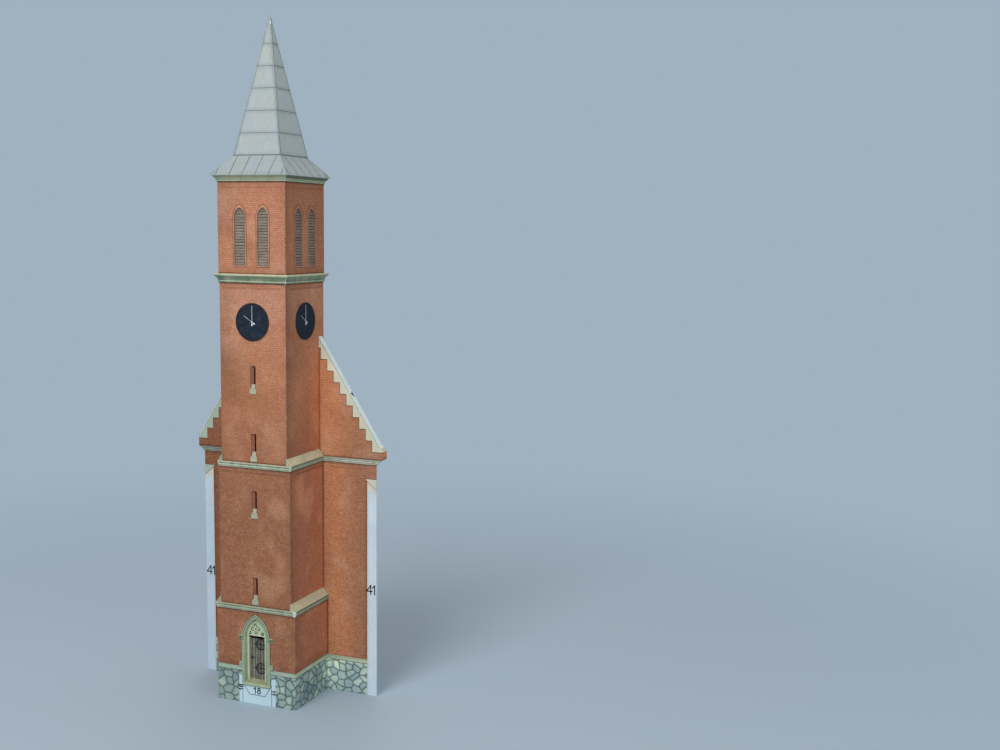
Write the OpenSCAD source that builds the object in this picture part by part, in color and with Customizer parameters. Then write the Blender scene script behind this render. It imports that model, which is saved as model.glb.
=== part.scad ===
// Card model of a church tower with the two halves of its west gable wall.
// Millimetres, +Z up, front of the tower towards -Y. The origin lies on the
// table under the middle of the tower.

/* [Card] */
// Thickness of the card that the walls are folded from
card = 0.8; // [0.5:0.1:1.2]
// Thickness of the single cards: the wings, the gable, the strips and the backs
thin_card = 0.5; // [0.3:0.1:0.7]

/* [Tower storeys] */
// Width of the clock storey, and depth of the three lower storeys
clock_w = 22.6; // [20:0.2:26]
// Height of the clock storey
clock_h = 54.1; // [50:0.1:60]
// How far the middle storey stands out on each side of the clock storey
upper_setback = 1; // [0.6:0.1:2]
// Height of the middle storey
middle_h = 44.4; // [42:0.2:50]
// How far the ground storey stands out on each side of the middle storey
lower_setback = 1.4; // [0.8:0.1:2.6]
// Height of the ground storey
ground_h = 31; // [29:0.5:36]
// How far the belfry stands out on each side of the clock storey
belfry_setout = 0.2; // [0:0.1:0.5]
// Height of the belfry walls
belfry_h = 27.1; // [24:0.1:32]

/* [String courses] */
// Height of a string course
string_h = 1.7; // [1:0.1:2.4]
// How far a string course stands out from the side walls
string_out = 0.45; // [0.2:0.05:0.8]
// How far a string course stands out from the front and rear walls
string_relief = 0.25; // [0.1:0.05:0.6]
// Height of the sloping ledge over a string course
weathering_h = 2.1; // [1:0.1:4]

/* [Cornices] */
// Height of the cornice under the belfry
cornice_h = 2.7; // [2:0.1:4]
// Overhang of the cornice under the belfry, past the clock storey
cornice_out = 1.3; // [0.8:0.1:2]
// Height of the eaves cornice
eaves_h = 1.8; // [1.2:0.1:3]
// Overhang of the eaves cornice, past the belfry walls
eaves_out = 1; // [0.4:0.1:1.1]

/* [Roof] */
// Overhang of the roof skirt, past the belfry walls
skirt_out = 1.65; // [1.1:0.05:2.5]
// Height of the roof skirt
skirt_h = 6; // [4:0.5:9]
// Distance from the skirt's edge in to the foot of the spire
skirt_run = 5.15; // [3:0.05:7]
// Height of the spire
spire_h = 41; // [30:1:55]
// Width of the blunt tip of the spire
spire_tip_w = 0.4; // [0.2:0.1:1]

/* [Belfry openings] */
// Width of a louvred opening
louvre_w = 4.1; // [3:0.1:5]
// Distance between the middles of the two openings of a face
louvre_pitch = 7.9; // [6:0.1:10]
// Height of the straight sides of an opening
louvre_side_h = 14.6; // [12:0.2:16]
// Height of the pointed head of an opening
louvre_head_h = 2.9; // [2.2:0.1:4]
// Height of an opening's foot over the cornice
louvre_foot = 2.3; // [1:0.1:4]
// Margin by which a louvre panel is glued behind its opening
louvre_glue = 0.6; // [0.3:0.1:0.9]

/* [Clock] */
// Diameter of a dial
dial_d = 11.3; // [8:0.1:14]
// Thickness of a dial
dial_t = 0.25; // [0.1:0.05:0.5]
// Distance of a dial's middle under the belfry cornice
dial_drop = 11.5; // [8:0.5:16]
// Reach of the minute hand from the dial's middle
minute_reach = 4.9; // [3:0.1:5]
// Reach of the hour hand from the dial's middle
hour_reach = 3.4; // [2:0.1:4]
// Width of the hands at the dial's middle
hand_w = 0.36; // [0.2:0.02:0.6]
// Thickness of the hands
hand_t = 0.1; // [0.05:0.05:0.2]
// Angle of the hour hand to the left of upright
hour_angle = 58; // [30:1:80]

/* [Slit windows] */
// Width of a slit
slit_w = 1.65; // [1:0.05:2.4]
// Height of a slit
slit_h = 7; // [5:0.5:9]
// Depth of a slit behind the front face
slit_depth = 2; // [1.5:0.1:3]
// Rise of the slanting sill inside a slit
slit_sill_rise = 1.4; // [0.8:0.1:2]
// Run of that sill behind the front face
slit_sill_run = 1; // [0.8:0.1:1.4]
// Height of the sill stone under a slit
sill_stone_h = 1.4; // [1:0.1:2]
// How far a sill stone reaches past each side of its slit
sill_stone_side = 0.28; // [0.1:0.02:0.6]
// How far a sill stone stands out
sill_stone_out = 0.2; // [0.1:0.05:0.4]
// Gap between a string course and the sill stone over it
sill_stone_gap = 0.5; // [0.1:0.1:1]
// Height between the two slits of the middle storey
middle_slit_pitch = 26.9; // [15:0.1:28]
// Height between the two slits of the clock storey
clock_slit_pitch = 20.5; // [14:0.1:22]

/* [Portal] */
// Width over the portal's jambs
portal_w = 9.8; // [9:0.1:11]
// Height of the portal's foot over the table
portal_foot = 5.7; // [4:0.1:7]
// Height of the portal's arch over its springing
portal_rise = 7.6; // [6:0.1:9]
// Gap between the tip of the portal's arch and the string course over it
portal_gap = 0.9; // [0.3:0.1:2]
// Width of the outer order of the jambs
outer_order_w = 1.15; // [0.8:0.05:1.5]
// Width of the inner order of the jambs
inner_order_w = 0.95; // [0.6:0.05:1.3]
// Depth of each order
order_depth = 0.7; // [0.5:0.05:1]
// How far the portal stands out from the wall
portal_out = 0.25; // [0.1:0.05:0.4]
// Reach of the hood's stops and the base blocks, past the jambs
stop_out = 1.05; // [0.6:0.05:1.6]
// Height of the hood's stops and the base blocks
stop_h = 1.6; // [1:0.1:2.4]
// Height of the lintel's underside over the springing
lintel_rise = 0.2; // [-1:0.1:1]
// Height of the sill step in front of the door
door_sill_h = 0.9; // [0.5:0.1:1.4]
// Rise of the slanting sill behind that step
door_sill_rise = 1.2; // [0.6:0.1:1.8]

/* [Plinth] */
// Height of the stone plinth with its capping band
plinth_h = 11.5; // [9:0.1:14]

/* [Wings] */
// Width of a wing beside the clock storey
wing_w = 19.8; // [17:0.1:25]
// Distance of a wing's face from the tower's rear face
wing_inset = 2.65; // [2.2:0.05:4]
// How far the gable stands out in front of the wing under it
gable_out = 0.4; // [0.2:0.05:0.5]
// How far the kneeler stands out past the wing's end
kneeler_out = 1.9; // [1.2:0.1:3]
// Height of the brick band of the kneeler
kneeler_h = 2.5; // [1.5:0.1:4]
// Depth of the kneeler's cheek, folded back at its end
cheek_d = 3.5; // [2.4:0.1:4]
// Rise of the gablet on top of a cheek over the brick band
gablet_h = 1.9; // [1.7:0.1:3]
// Height of the gable's slope over the kneeler's brick band
gable_h = 34.8; // [28:0.1:40]
// Height at which the slope ends on the kneeler, over its brick band
slope_foot = 1.5; // [1.2:0.1:1.6]
// Number of steps in the coping
coping_steps = 10; // [6:1:14]
// Width of the coping beside a step's corner
coping_margin = 1.5; // [1:0.05:1.9]
// Thickness of the gluing strip that is folded back along the slope
slope_strip_t = 0.35; // [0.2:0.05:0.45]
// Depth of that strip
slope_strip_d = 2; // [1.2:0.1:2.6]

/* [Hidden] */
$fn = 48;
// Heights of the storeys' feet
middle_z = ground_h;
clock_z = middle_z + middle_h;
cornice_z = clock_z + clock_h;
belfry_z = cornice_z + cornice_h;
eaves_z = belfry_z + belfry_h;
skirt_z = eaves_z + eaves_h;
spire_z = skirt_z + skirt_h;
// Widths of the other storeys and of the roof
middle_w = clock_w + 2 * upper_setback;
ground_w = middle_w + 2 * lower_setback;
belfry_w = clock_w + 2 * belfry_setout;
skirt_w = belfry_w + 2 * skirt_out;
spire_w = skirt_w - 2 * skirt_run;
// Planes from front to back
tower_d = clock_w;
front_y = -tower_d / 2;
rear_y = tower_d / 2;
wing_y = rear_y - wing_inset;
gable_y = wing_y - gable_out;
belfry_front_y = -belfry_w / 2;
// Portal
portal_y = front_y - portal_out;
door_y = portal_y + 2 * order_depth;
portal_spring = ground_h - string_h - portal_gap - portal_rise;
lintel_z = portal_spring + lintel_rise;
door_foot = portal_foot + door_sill_h;
// Half width at which the hollow of a roof ends
hollow_tip = 0.2;
// Clock and belfry openings
dial_z = cornice_z - dial_drop;
louvre_z = belfry_z + louvre_foot;
// Slit windows: heights of the four sill stones
slit_feet = [
    middle_z + sill_stone_gap,
    middle_z + sill_stone_gap + middle_slit_pitch,
    clock_z + sill_stone_gap,
    clock_z + sill_stone_gap + clock_slit_pitch
];
sill_stone_w = slit_w + 2 * sill_stone_side;
slit_box_w = slit_w + 2 * thin_card;
// Gable outline
wing_reach = clock_w / 2 + wing_w;
kneeler_x = wing_reach + kneeler_out;
coping_z = clock_z + kneeler_h;
gable_top_z = coping_z + gable_h;
slope_end_x = kneeler_x - thin_card;
slope_end_z = coping_z + slope_foot;
gable_slope = (gable_top_z - slope_end_z) / (slope_end_x - clock_w / 2);
strip_drop = slope_strip_t * sqrt(1 + gable_slope * gable_slope);
step_h = (gable_top_z - coping_z) / coping_steps;
// Colours
brick = [0.70, 0.46, 0.35];
brick_shade = [0.62, 0.40, 0.30];
cream = [0.78, 0.80, 0.70];
moss = [0.55, 0.63, 0.54];
zinc = [0.72, 0.77, 0.78];
white_card = [0.86, 0.90, 0.94];
navy = [0.10, 0.14, 0.20];
timber = [0.40, 0.36, 0.33];
shadow_brown = [0.30, 0.18, 0.15];

// A flat card cut to the 2D outline drawn in X and Z, its front face at y
module upright(y, t) {
    translate([0, y + t, 0]) rotate([90, 0, 0]) linear_extrude(t) children();
}

// A strip with the 2D profile drawn in Y and Z, from x to x + length
module along_x(x, length) {
    translate([x, 0, 0]) rotate([90, 0, 90]) linear_extrude(length) children();
}

// A block with the 2D profile drawn in X and Z on all four sides, mitred at
// its corners
module mitred(reach) {
    intersection() {
        upright(-reach, 2 * reach) children();
        along_x(-reach, 2 * reach) children();
    }
}

// Pointed arch on straight sides, its foot at z = 0
module pointed(w, side_h, head_h) {
    half = w / 2;
    radius = (head_h * head_h + half * half) / (2 * half);
    translate([-half, 0]) square([w, side_h]);
    intersection() {
        translate([radius - half, side_h]) circle(radius);
        translate([half - radius, side_h]) circle(radius);
        translate([-half, side_h]) square([w, head_h]);
    }
}

// Repeats its children, which face -Y, on the four faces of the tower
module on_four_faces() {
    for (turn = [0, 90, 180, 270]) rotate([0, 0, turn]) children();
}

// Repeats its children on the right-hand and the left-hand side
module both_sides() {
    children();
    mirror([1, 0, 0]) children();
}

// ---- Tower walls ----

module base_card() {
    color(white_card)
        translate([card - ground_w / 2, front_y + card, 0])
            cube([ground_w - 2 * card, tower_d - 2 * card, card]);
}

// Outline of the flush front and rear walls, stepped in at each storey
module tower_outline() {
    translate([-ground_w / 2, 0]) square([ground_w, ground_h]);
    translate([-middle_w / 2, middle_z]) square([middle_w, middle_h]);
    translate([-clock_w / 2, clock_z]) square([clock_w, clock_h]);
}

module portal_outline(inset) {
    half = portal_w / 2;
    radius = (portal_rise * portal_rise + half * half) / (2 * half);
    inner_rise = sqrt(pow(radius - inset, 2) - pow(radius - half, 2));
    translate([0, portal_foot])
        pointed(portal_w - 2 * inset, portal_spring - portal_foot, inner_rise);
}

module front_wall() {
    color(brick)
        upright(front_y, card) difference() {
            tower_outline();
            portal_outline(0);
            for (foot = slit_feet)
                translate([-slit_w / 2, foot + sill_stone_h]) square([slit_w, slit_h]);
        }
}

module rear_wall() {
    color(brick) upright(rear_y - card, card) tower_outline();
}

// Right-hand side wall of a storey
module side_wall(w, z, h) {
    color(brick_shade)
        translate([w / 2 - card, front_y + card, z]) cube([card, tower_d - 2 * card, h]);
}

module ground_right_wall() side_wall(ground_w, 0, ground_h);
module ground_left_wall() mirror([1, 0, 0]) ground_right_wall();
module middle_right_wall() side_wall(middle_w, middle_z, middle_h);
module middle_left_wall() mirror([1, 0, 0]) middle_right_wall();
module clock_right_wall() side_wall(clock_w, clock_z, clock_h);
module clock_left_wall() mirror([1, 0, 0]) clock_right_wall();

// ---- Belfry ----

// Wall of the given width with its pair of louvred openings, facing -Y
module belfry_face(w) {
    upright(belfry_front_y, card) difference() {
        translate([-w / 2, belfry_z]) square([w, belfry_h]);
        for (side = [-1, 1])
            translate([side * louvre_pitch / 2, louvre_z])
                pointed(louvre_w, louvre_side_h, louvre_head_h);
    }
}

module belfry_front_wall() color(brick) belfry_face(belfry_w);
module belfry_rear_wall() color(brick) rotate([0, 0, 180]) belfry_face(belfry_w);
module belfry_right_wall() color(brick_shade) rotate([0, 0, 90]) belfry_face(belfry_w - 2 * card);
module belfry_left_wall() color(brick_shade) rotate([0, 0, 270]) belfry_face(belfry_w - 2 * card);

module louvre_panels() {
    color(timber) on_four_faces()
        for (side = [-1, 1])
            upright(belfry_front_y + card, thin_card)
                translate([side * louvre_pitch / 2, louvre_z - louvre_glue])
                    pointed(louvre_w + 2 * louvre_glue, louvre_side_h + louvre_glue,
                            louvre_head_h + louvre_glue);
}

// ---- Clock ----

module clock_dials() {
    color(navy) on_four_faces()
        upright(front_y - dial_t, dial_t) translate([0, dial_z]) circle(d = dial_d);
}

// A hand that tapers to its tip, with a short diamond tail
module hand(reach) {
    polygon([[0, reach], [hand_w / 2, 0], [0, -reach / 3], [-hand_w / 2, 0]]);
}

module clock_hands() {
    color(white_card) on_four_faces()
        upright(front_y - dial_t - hand_t, hand_t) translate([0, dial_z]) {
            hand(minute_reach);
            rotate(hour_angle) hand(hour_reach);
        }
}

// ---- Slit windows ----

module slit_boxes() {
    box_h = slit_h + 2 * thin_card;
    color(shadow_brown)
        for (foot = slit_feet)
            translate([0, front_y + card, foot + sill_stone_h]) difference() {
                translate([-slit_box_w / 2, 0, -thin_card])
                    cube([slit_box_w, slit_depth - card + thin_card, box_h]);
                translate([-slit_w / 2, -card, 0])
                    cube([slit_w, slit_depth, slit_h]);
            }
}

// Sill stone on the wall with the slanting sill behind it
module slit_sills() {
    color(cream)
        for (foot = slit_feet) {
            translate([-sill_stone_w / 2, front_y - sill_stone_out, foot])
                cube([sill_stone_w, sill_stone_out, sill_stone_h]);
            along_x(-slit_w / 2, slit_w)
                translate([front_y, foot + sill_stone_h])
                    polygon([[-sill_stone_out, 0], [slit_sill_run, 0],
                             [slit_sill_run, slit_sill_rise]]);
        }
}

// ---- Portal ----

// One order of the portal, standing on the sill step, its opening narrower by
// inset on each side
module portal_order(y, inset) {
    upright(y, order_depth) difference() {
        portal_outline(0);
        portal_outline(inset);
        translate([-portal_w / 2, portal_foot]) square([portal_w, door_sill_h]);
    }
}

// Blocks beside the jambs, with their foot at height z
module jamb_blocks(z) {
    for (side = [-1, 1])
        translate([side * (portal_w + stop_out) / 2 - stop_out / 2, z])
            square([stop_out, stop_h]);
}

module portal() {
    color(moss) {
        portal_order(portal_y, outer_order_w);
        portal_order(portal_y + order_depth, outer_order_w + inner_order_w);
        upright(portal_y, portal_out) {
            jamb_blocks(portal_spring - stop_h / 2);
            jamb_blocks(plinth_h);
        }
    }
}

module tympanum() {
    color(moss)
        upright(door_y, thin_card) intersection() {
            portal_outline(outer_order_w);
            translate([-portal_w / 2, lintel_z]) square([portal_w, 2 * portal_rise]);
        }
}

module door() {
    door_w = portal_w - 2 * outer_order_w;
    color(timber)
        upright(door_y, thin_card)
            translate([-door_w / 2, door_foot]) square([door_w, lintel_z - door_foot]);
}

// Sill step across the jambs, with the slanting sill in the doorway behind it
module door_sill() {
    outer_w = portal_w - 2 * outer_order_w;
    inner_w = outer_w - 2 * inner_order_w;
    middle_y = portal_y + order_depth;
    color(cream) {
        translate([-portal_w / 2, portal_y, portal_foot])
            cube([portal_w, door_y - portal_y, door_sill_h]);
        along_x(-outer_w / 2, outer_w)
            translate([0, door_foot])
                polygon([[portal_y, 0], [middle_y, 0], [middle_y, door_sill_rise / 2]]);
        along_x(-inner_w / 2, inner_w)
            translate([0, door_foot])
                polygon([[middle_y, 0], [door_y, 0], [door_y, door_sill_rise],
                         [middle_y, door_sill_rise / 2]]);
    }
}

// ---- String courses, weatherings and cornices ----

// Band round the front and the sides of a storey up to the wing at back_y, and
// a bar across its rear
module string_course(w, top_z, back_y) {
    color(moss) translate([0, 0, top_z - string_h]) {
        linear_extrude(string_h) difference() {
            translate([-w / 2 - string_out, front_y - string_relief])
                square([w + 2 * string_out, back_y - front_y + string_relief]);
            translate([-w / 2, front_y]) square([w, tower_d]);
        }
        translate([-w / 2, rear_y, 0]) cube([w, string_relief, string_h]);
    }
}

module lower_string_course() string_course(ground_w, middle_z, wing_y);
module upper_string_course() string_course(middle_w, clock_z, gable_y);

// Sloping ledges from a string course in to the narrower storey over it
module weatherings(lower_w, upper_w, z, back_y) {
    color(cream) both_sides()
        upright(front_y, back_y - front_y)
            polygon([[upper_w / 2, z], [lower_w / 2 + string_out, z],
                     [upper_w / 2, z + weathering_h]]);
}

module lower_weatherings() weatherings(ground_w, middle_w, middle_z, wing_y);
module upper_weatherings() weatherings(middle_w, clock_w, clock_z, gable_y);

// Moulded cornice: a fascia over a hollow that curves in to the wall
module cornice(wall_w, out, z, h) {
    half = wall_w / 2;
    fascia = h * 0.22;
    profile = [
        [half, 0], [half + out * 0.3, h * 0.12], [half + out * 0.38, h * 0.4],
        [half + out * 0.65, h * 0.6], [half + out, h - fascia], [half + out, h]
    ];
    color(moss)
        translate([0, 0, z]) mitred(half + out)
            polygon(concat(profile, [for (i = [len(profile) - 1:-1:0]) [-profile[i][0], profile[i][1]]]));
}

module belfry_cornice() cornice(clock_w, cornice_out, cornice_z, cornice_h);
module eaves_cornice() cornice(belfry_w, eaves_out, eaves_z, eaves_h);

// ---- Roof ----

// Four-sided shell from one width to another, with walls of thin card, over a
// closed floor of thickness floor_t
module roof_shell(foot_w, top_w, z, h, floor_t) {
    run = (foot_w - top_w) / 2;
    inset = thin_card * sqrt(h * h + run * run) / h;
    foot_half = foot_w / 2 - inset;
    hollow_h = h * min(1, (foot_half - hollow_tip) / run);
    floor_half = foot_half - run * floor_t / h;
    top_half = foot_half - run * hollow_h / h;
    color(zinc) translate([0, 0, z]) difference() {
        mitred(foot_w / 2)
            polygon([[-foot_w / 2, 0], [foot_w / 2, 0], [top_w / 2, h], [-top_w / 2, h]]);
        mitred(foot_w / 2)
            polygon([[-floor_half, floor_t], [floor_half, floor_t],
                     [top_half, hollow_h], [-top_half, hollow_h]]);
    }
}

module roof_skirt() roof_shell(skirt_w, spire_w, skirt_z, skirt_h, thin_card);

module spire() roof_shell(spire_w, spire_tip_w, spire_z, spire_h, 0);

// ---- Wings ----

// Height of the slope's outer face at distance x from the tower's middle
function slope_z(x) = gable_top_z - gable_slope * (x - clock_w / 2);
// Distance at which the slope reaches height z
function slope_x(z) = clock_w / 2 + (gable_top_z - z) / gable_slope;
// Foot of step i, counted from the top, and the corner of the brick beside it
function step_z(i) = coping_z + step_h * (coping_steps - 1 - i);
function step_x(i) = slope_x(step_z(i)) - coping_margin;

// Stepped edge between brick and coping, from the tower down to the kneeler
stair = [for (i = [0:coping_steps - 2]) for (z = [step_z(i), step_z(i + 1)]) [step_x(i), z]];
// Top of the gable under its gluing strip, from the tower out to the kneeler
gable_edge = [
    [clock_w / 2, gable_top_z - strip_drop],
    [slope_end_x, slope_end_z - strip_drop],
    [slope_end_x, slope_end_z],
    [kneeler_x, slope_end_z]
];

// Single card beside the tower, from the table up to its string
module right_wing() {
    top_z = clock_z - string_h;
    color(brick) upright(wing_y, thin_card)
        polygon([[wing_reach, 0], [wing_reach, top_z], [middle_w / 2, top_z],
                 [middle_w / 2, middle_z], [ground_w / 2, middle_z], [ground_w / 2, 0]]);
}

// Moulding under the gable, chamfered back to the wing and in to its end
module right_wing_string() {
    foot = clock_z - string_h;
    back_y = wing_y + thin_card;
    color(moss) intersection() {
        upright(gable_y, back_y - gable_y)
            polygon([[middle_w / 2, foot], [wing_reach, foot], [kneeler_x, clock_z],
                     [middle_w / 2, clock_z]]);
        along_x(0, kneeler_x)
            polygon([[wing_y, foot], [back_y, foot], [back_y, clock_z], [gable_y, clock_z]]);
    }
}

module right_gable() {
    color(brick) upright(gable_y, thin_card)
        polygon(concat([[clock_w / 2, step_z(0)]], stair,
                       [[kneeler_x, coping_z], [kneeler_x, clock_z], [clock_w / 2, clock_z]]));
}

module right_stepped_coping() {
    color(cream) upright(gable_y, thin_card)
        polygon(concat(gable_edge, [[kneeler_x, coping_z]],
                       [for (i = [len(stair) - 1:-1:0]) stair[i]],
                       [[clock_w / 2, step_z(0)]]));
}

module right_slope_strip() {
    color(white_card) upright(gable_y, slope_strip_d)
        polygon([[clock_w / 2, gable_top_z], [slope_end_x, slope_end_z],
                 [slope_end_x, slope_end_z - strip_drop],
                 [clock_w / 2, gable_top_z - strip_drop]]);
}

module left_wing() mirror([1, 0, 0]) right_wing();
module left_wing_string() mirror([1, 0, 0]) right_wing_string();
module left_gable() mirror([1, 0, 0]) right_gable();
module left_stepped_coping() mirror([1, 0, 0]) right_stepped_coping();
module left_slope_strip() mirror([1, 0, 0]) right_slope_strip();

// Brick cheeks folded back at the kneelers' outer ends
module kneeler_cheeks() {
    color(brick_shade) both_sides()
        translate([slope_end_x, gable_y + thin_card, clock_z])
            cube([thin_card, cheek_d - thin_card, kneeler_h]);
}

// Pointed tops of the cheeks
module kneeler_gablets() {
    front = gable_y + thin_card;
    color(cream) both_sides()
        along_x(slope_end_x, thin_card)
            polygon([[front, coping_z], [gable_y + cheek_d, coping_z],
                     [gable_y + cheek_d / 2, coping_z + gablet_h], [front, slope_end_z]]);
}

base_card();
front_wall();
rear_wall();
ground_left_wall();
ground_right_wall();
middle_left_wall();
middle_right_wall();
clock_left_wall();
clock_right_wall();
belfry_front_wall();
belfry_rear_wall();
belfry_left_wall();
belfry_right_wall();
lower_string_course();
upper_string_course();
lower_weatherings();
upper_weatherings();
belfry_cornice();
eaves_cornice();
roof_skirt();
spire();
slit_boxes();
slit_sills();
louvre_panels();
clock_dials();
clock_hands();
portal();
tympanum();
door();
door_sill();
left_wing();
right_wing();
left_wing_string();
right_wing_string();
left_gable();
right_gable();
left_stepped_coping();
right_stepped_coping();
left_slope_strip();
right_slope_strip();
kneeler_cheeks();
kneeler_gablets();
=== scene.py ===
import math
import random

import bmesh
import bpy
from mathutils import Matrix, Vector


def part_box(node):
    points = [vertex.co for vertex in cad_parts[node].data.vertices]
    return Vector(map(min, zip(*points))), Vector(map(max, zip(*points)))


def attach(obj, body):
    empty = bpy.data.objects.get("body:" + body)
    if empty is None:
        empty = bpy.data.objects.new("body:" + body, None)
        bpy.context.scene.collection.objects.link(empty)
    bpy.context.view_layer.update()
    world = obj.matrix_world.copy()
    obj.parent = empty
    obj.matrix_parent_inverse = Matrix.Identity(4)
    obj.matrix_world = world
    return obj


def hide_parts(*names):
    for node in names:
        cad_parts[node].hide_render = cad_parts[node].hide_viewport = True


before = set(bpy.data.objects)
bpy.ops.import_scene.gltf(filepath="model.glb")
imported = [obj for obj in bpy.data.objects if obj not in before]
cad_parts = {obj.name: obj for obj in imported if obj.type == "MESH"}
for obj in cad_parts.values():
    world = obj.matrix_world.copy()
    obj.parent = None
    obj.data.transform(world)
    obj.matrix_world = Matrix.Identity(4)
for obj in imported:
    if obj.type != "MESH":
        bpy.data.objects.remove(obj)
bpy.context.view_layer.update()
random.seed(11)


# ---- Sizes in millimetres ----
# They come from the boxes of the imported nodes. What no box shows is set as in the part's source.

def lo(node):
    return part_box(node)[0] * 1000


def hi(node):
    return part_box(node)[1] * 1000


FRONT = lo("front_wall").y
REAR = hi("rear_wall").y
BELFRY_Y = lo("belfry_front_wall").y
WING_Y = lo("right_wing").y
GABLE_Y = lo("right_gable").y
GROUND_HALF = hi("ground_right_wall").x
MIDDLE_HALF = hi("middle_right_wall").x
CLOCK_HALF = hi("clock_right_wall").x
BELFRY_HALF = hi("belfry_right_wall").x
WING_X = hi("right_wing").x
KNEELER_X = hi("right_gable").x
MIDDLE_Z = hi("ground_right_wall").z
CLOCK_Z = hi("middle_right_wall").z
CORNICE_Z = hi("clock_right_wall").z
BELFRY_Z = hi("belfry_cornice").z
EAVES_Z = hi("belfry_front_wall").z
SKIRT_Z = hi("eaves_cornice").z
SKIRT_HALF = hi("roof_skirt").x
SPIRE_Z = hi("roof_skirt").z
SPIRE_HALF = hi("spire").x
APEX_Z = hi("spire").z
STRING_H = 1.7
STRING_OUT = hi("upper_string_course").x - MIDDLE_HALF
STRING_RELIEF = FRONT - lo("upper_string_course").y
COPING_Z = lo("right_stepped_coping").z
GABLE_TOP = hi("right_slope_strip").z
SLOPE_END_X = hi("right_slope_strip").x
SLOPE_END_Z = COPING_Z + 1.5
CHEEK_Y = hi("kneeler_cheeks").y
PORTAL_HALF = 4.9
PORTAL_FOOT = lo("door_sill").z
PORTAL_SPRING = 20.8
PORTAL_RISE = 7.6
PORTAL_Y = lo("portal").y
DOOR_Y = lo("door").y
DOOR_FOOT = lo("door").z
LINTEL_Z = hi("door").z
DIAL_Z = CORNICE_Z - 11.5
DIAL_Y = lo("clock_dials").y
LOUVRE_Z = BELFRY_Z + 2.3
LOUVRE_HALF = 2.05
LOUVRE_SIDE = 14.6
LOUVRE_HEAD = 2.9
LOUVRE_X = 3.95
SLIT_HALF = 0.825
SLIT_FEET = [MIDDLE_Z + 0.5, MIDDLE_Z + 27.4, CLOCK_Z + 0.5, CLOCK_Z + 21.0]
TAB_TOP = 69.2
TAB_X = 27.85
PLINTH_Z = 11.5
STONE_Z = 10.15
COURSE = 0.55
SHEET_ROWS = 6
SHEET_TOP = APEX_Z - 1.4
SKIRT_SEAMS = (-11.05, -6.45, -2.1, 2.35, 6.8, 11.05)
DENTIL_PITCH = 0.62
DENTIL_HALF = 0.18
DENTIL_H = 0.5
BOARD_PITCH = 0.83


# ---- Node materials ----

def linear(r, g, b):
    out = []
    for c in (r, g, b):
        c = c / 255
        out.append(c / 12.92 if c <= 0.04045 else ((c + 0.055) / 1.055) ** 2.4)
    return (*out, 1.0)


class Value:
    """A number, vector or colour from a node; numbers can be reckoned with as in plain Python."""

    def __init__(self, mat, socket):
        self.mat, self.socket = mat, socket

    def __rsub__(self, other):
        return self.mat.math("SUBTRACT", other, self)

    def __abs__(self):
        return self.mat.math("ABSOLUTE", self)


def operator(operation):
    return lambda value, other: value.mat.math(operation, value, other)


for sign, operation in (("add", "ADD"), ("radd", "ADD"), ("sub", "SUBTRACT"), ("mul", "MULTIPLY"),
                        ("rmul", "MULTIPLY"), ("truediv", "DIVIDE"), ("pow", "POWER"),
                        ("gt", "GREATER_THAN"), ("lt", "LESS_THAN")):
    setattr(Value, f"__{sign}__", operator(operation))


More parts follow.
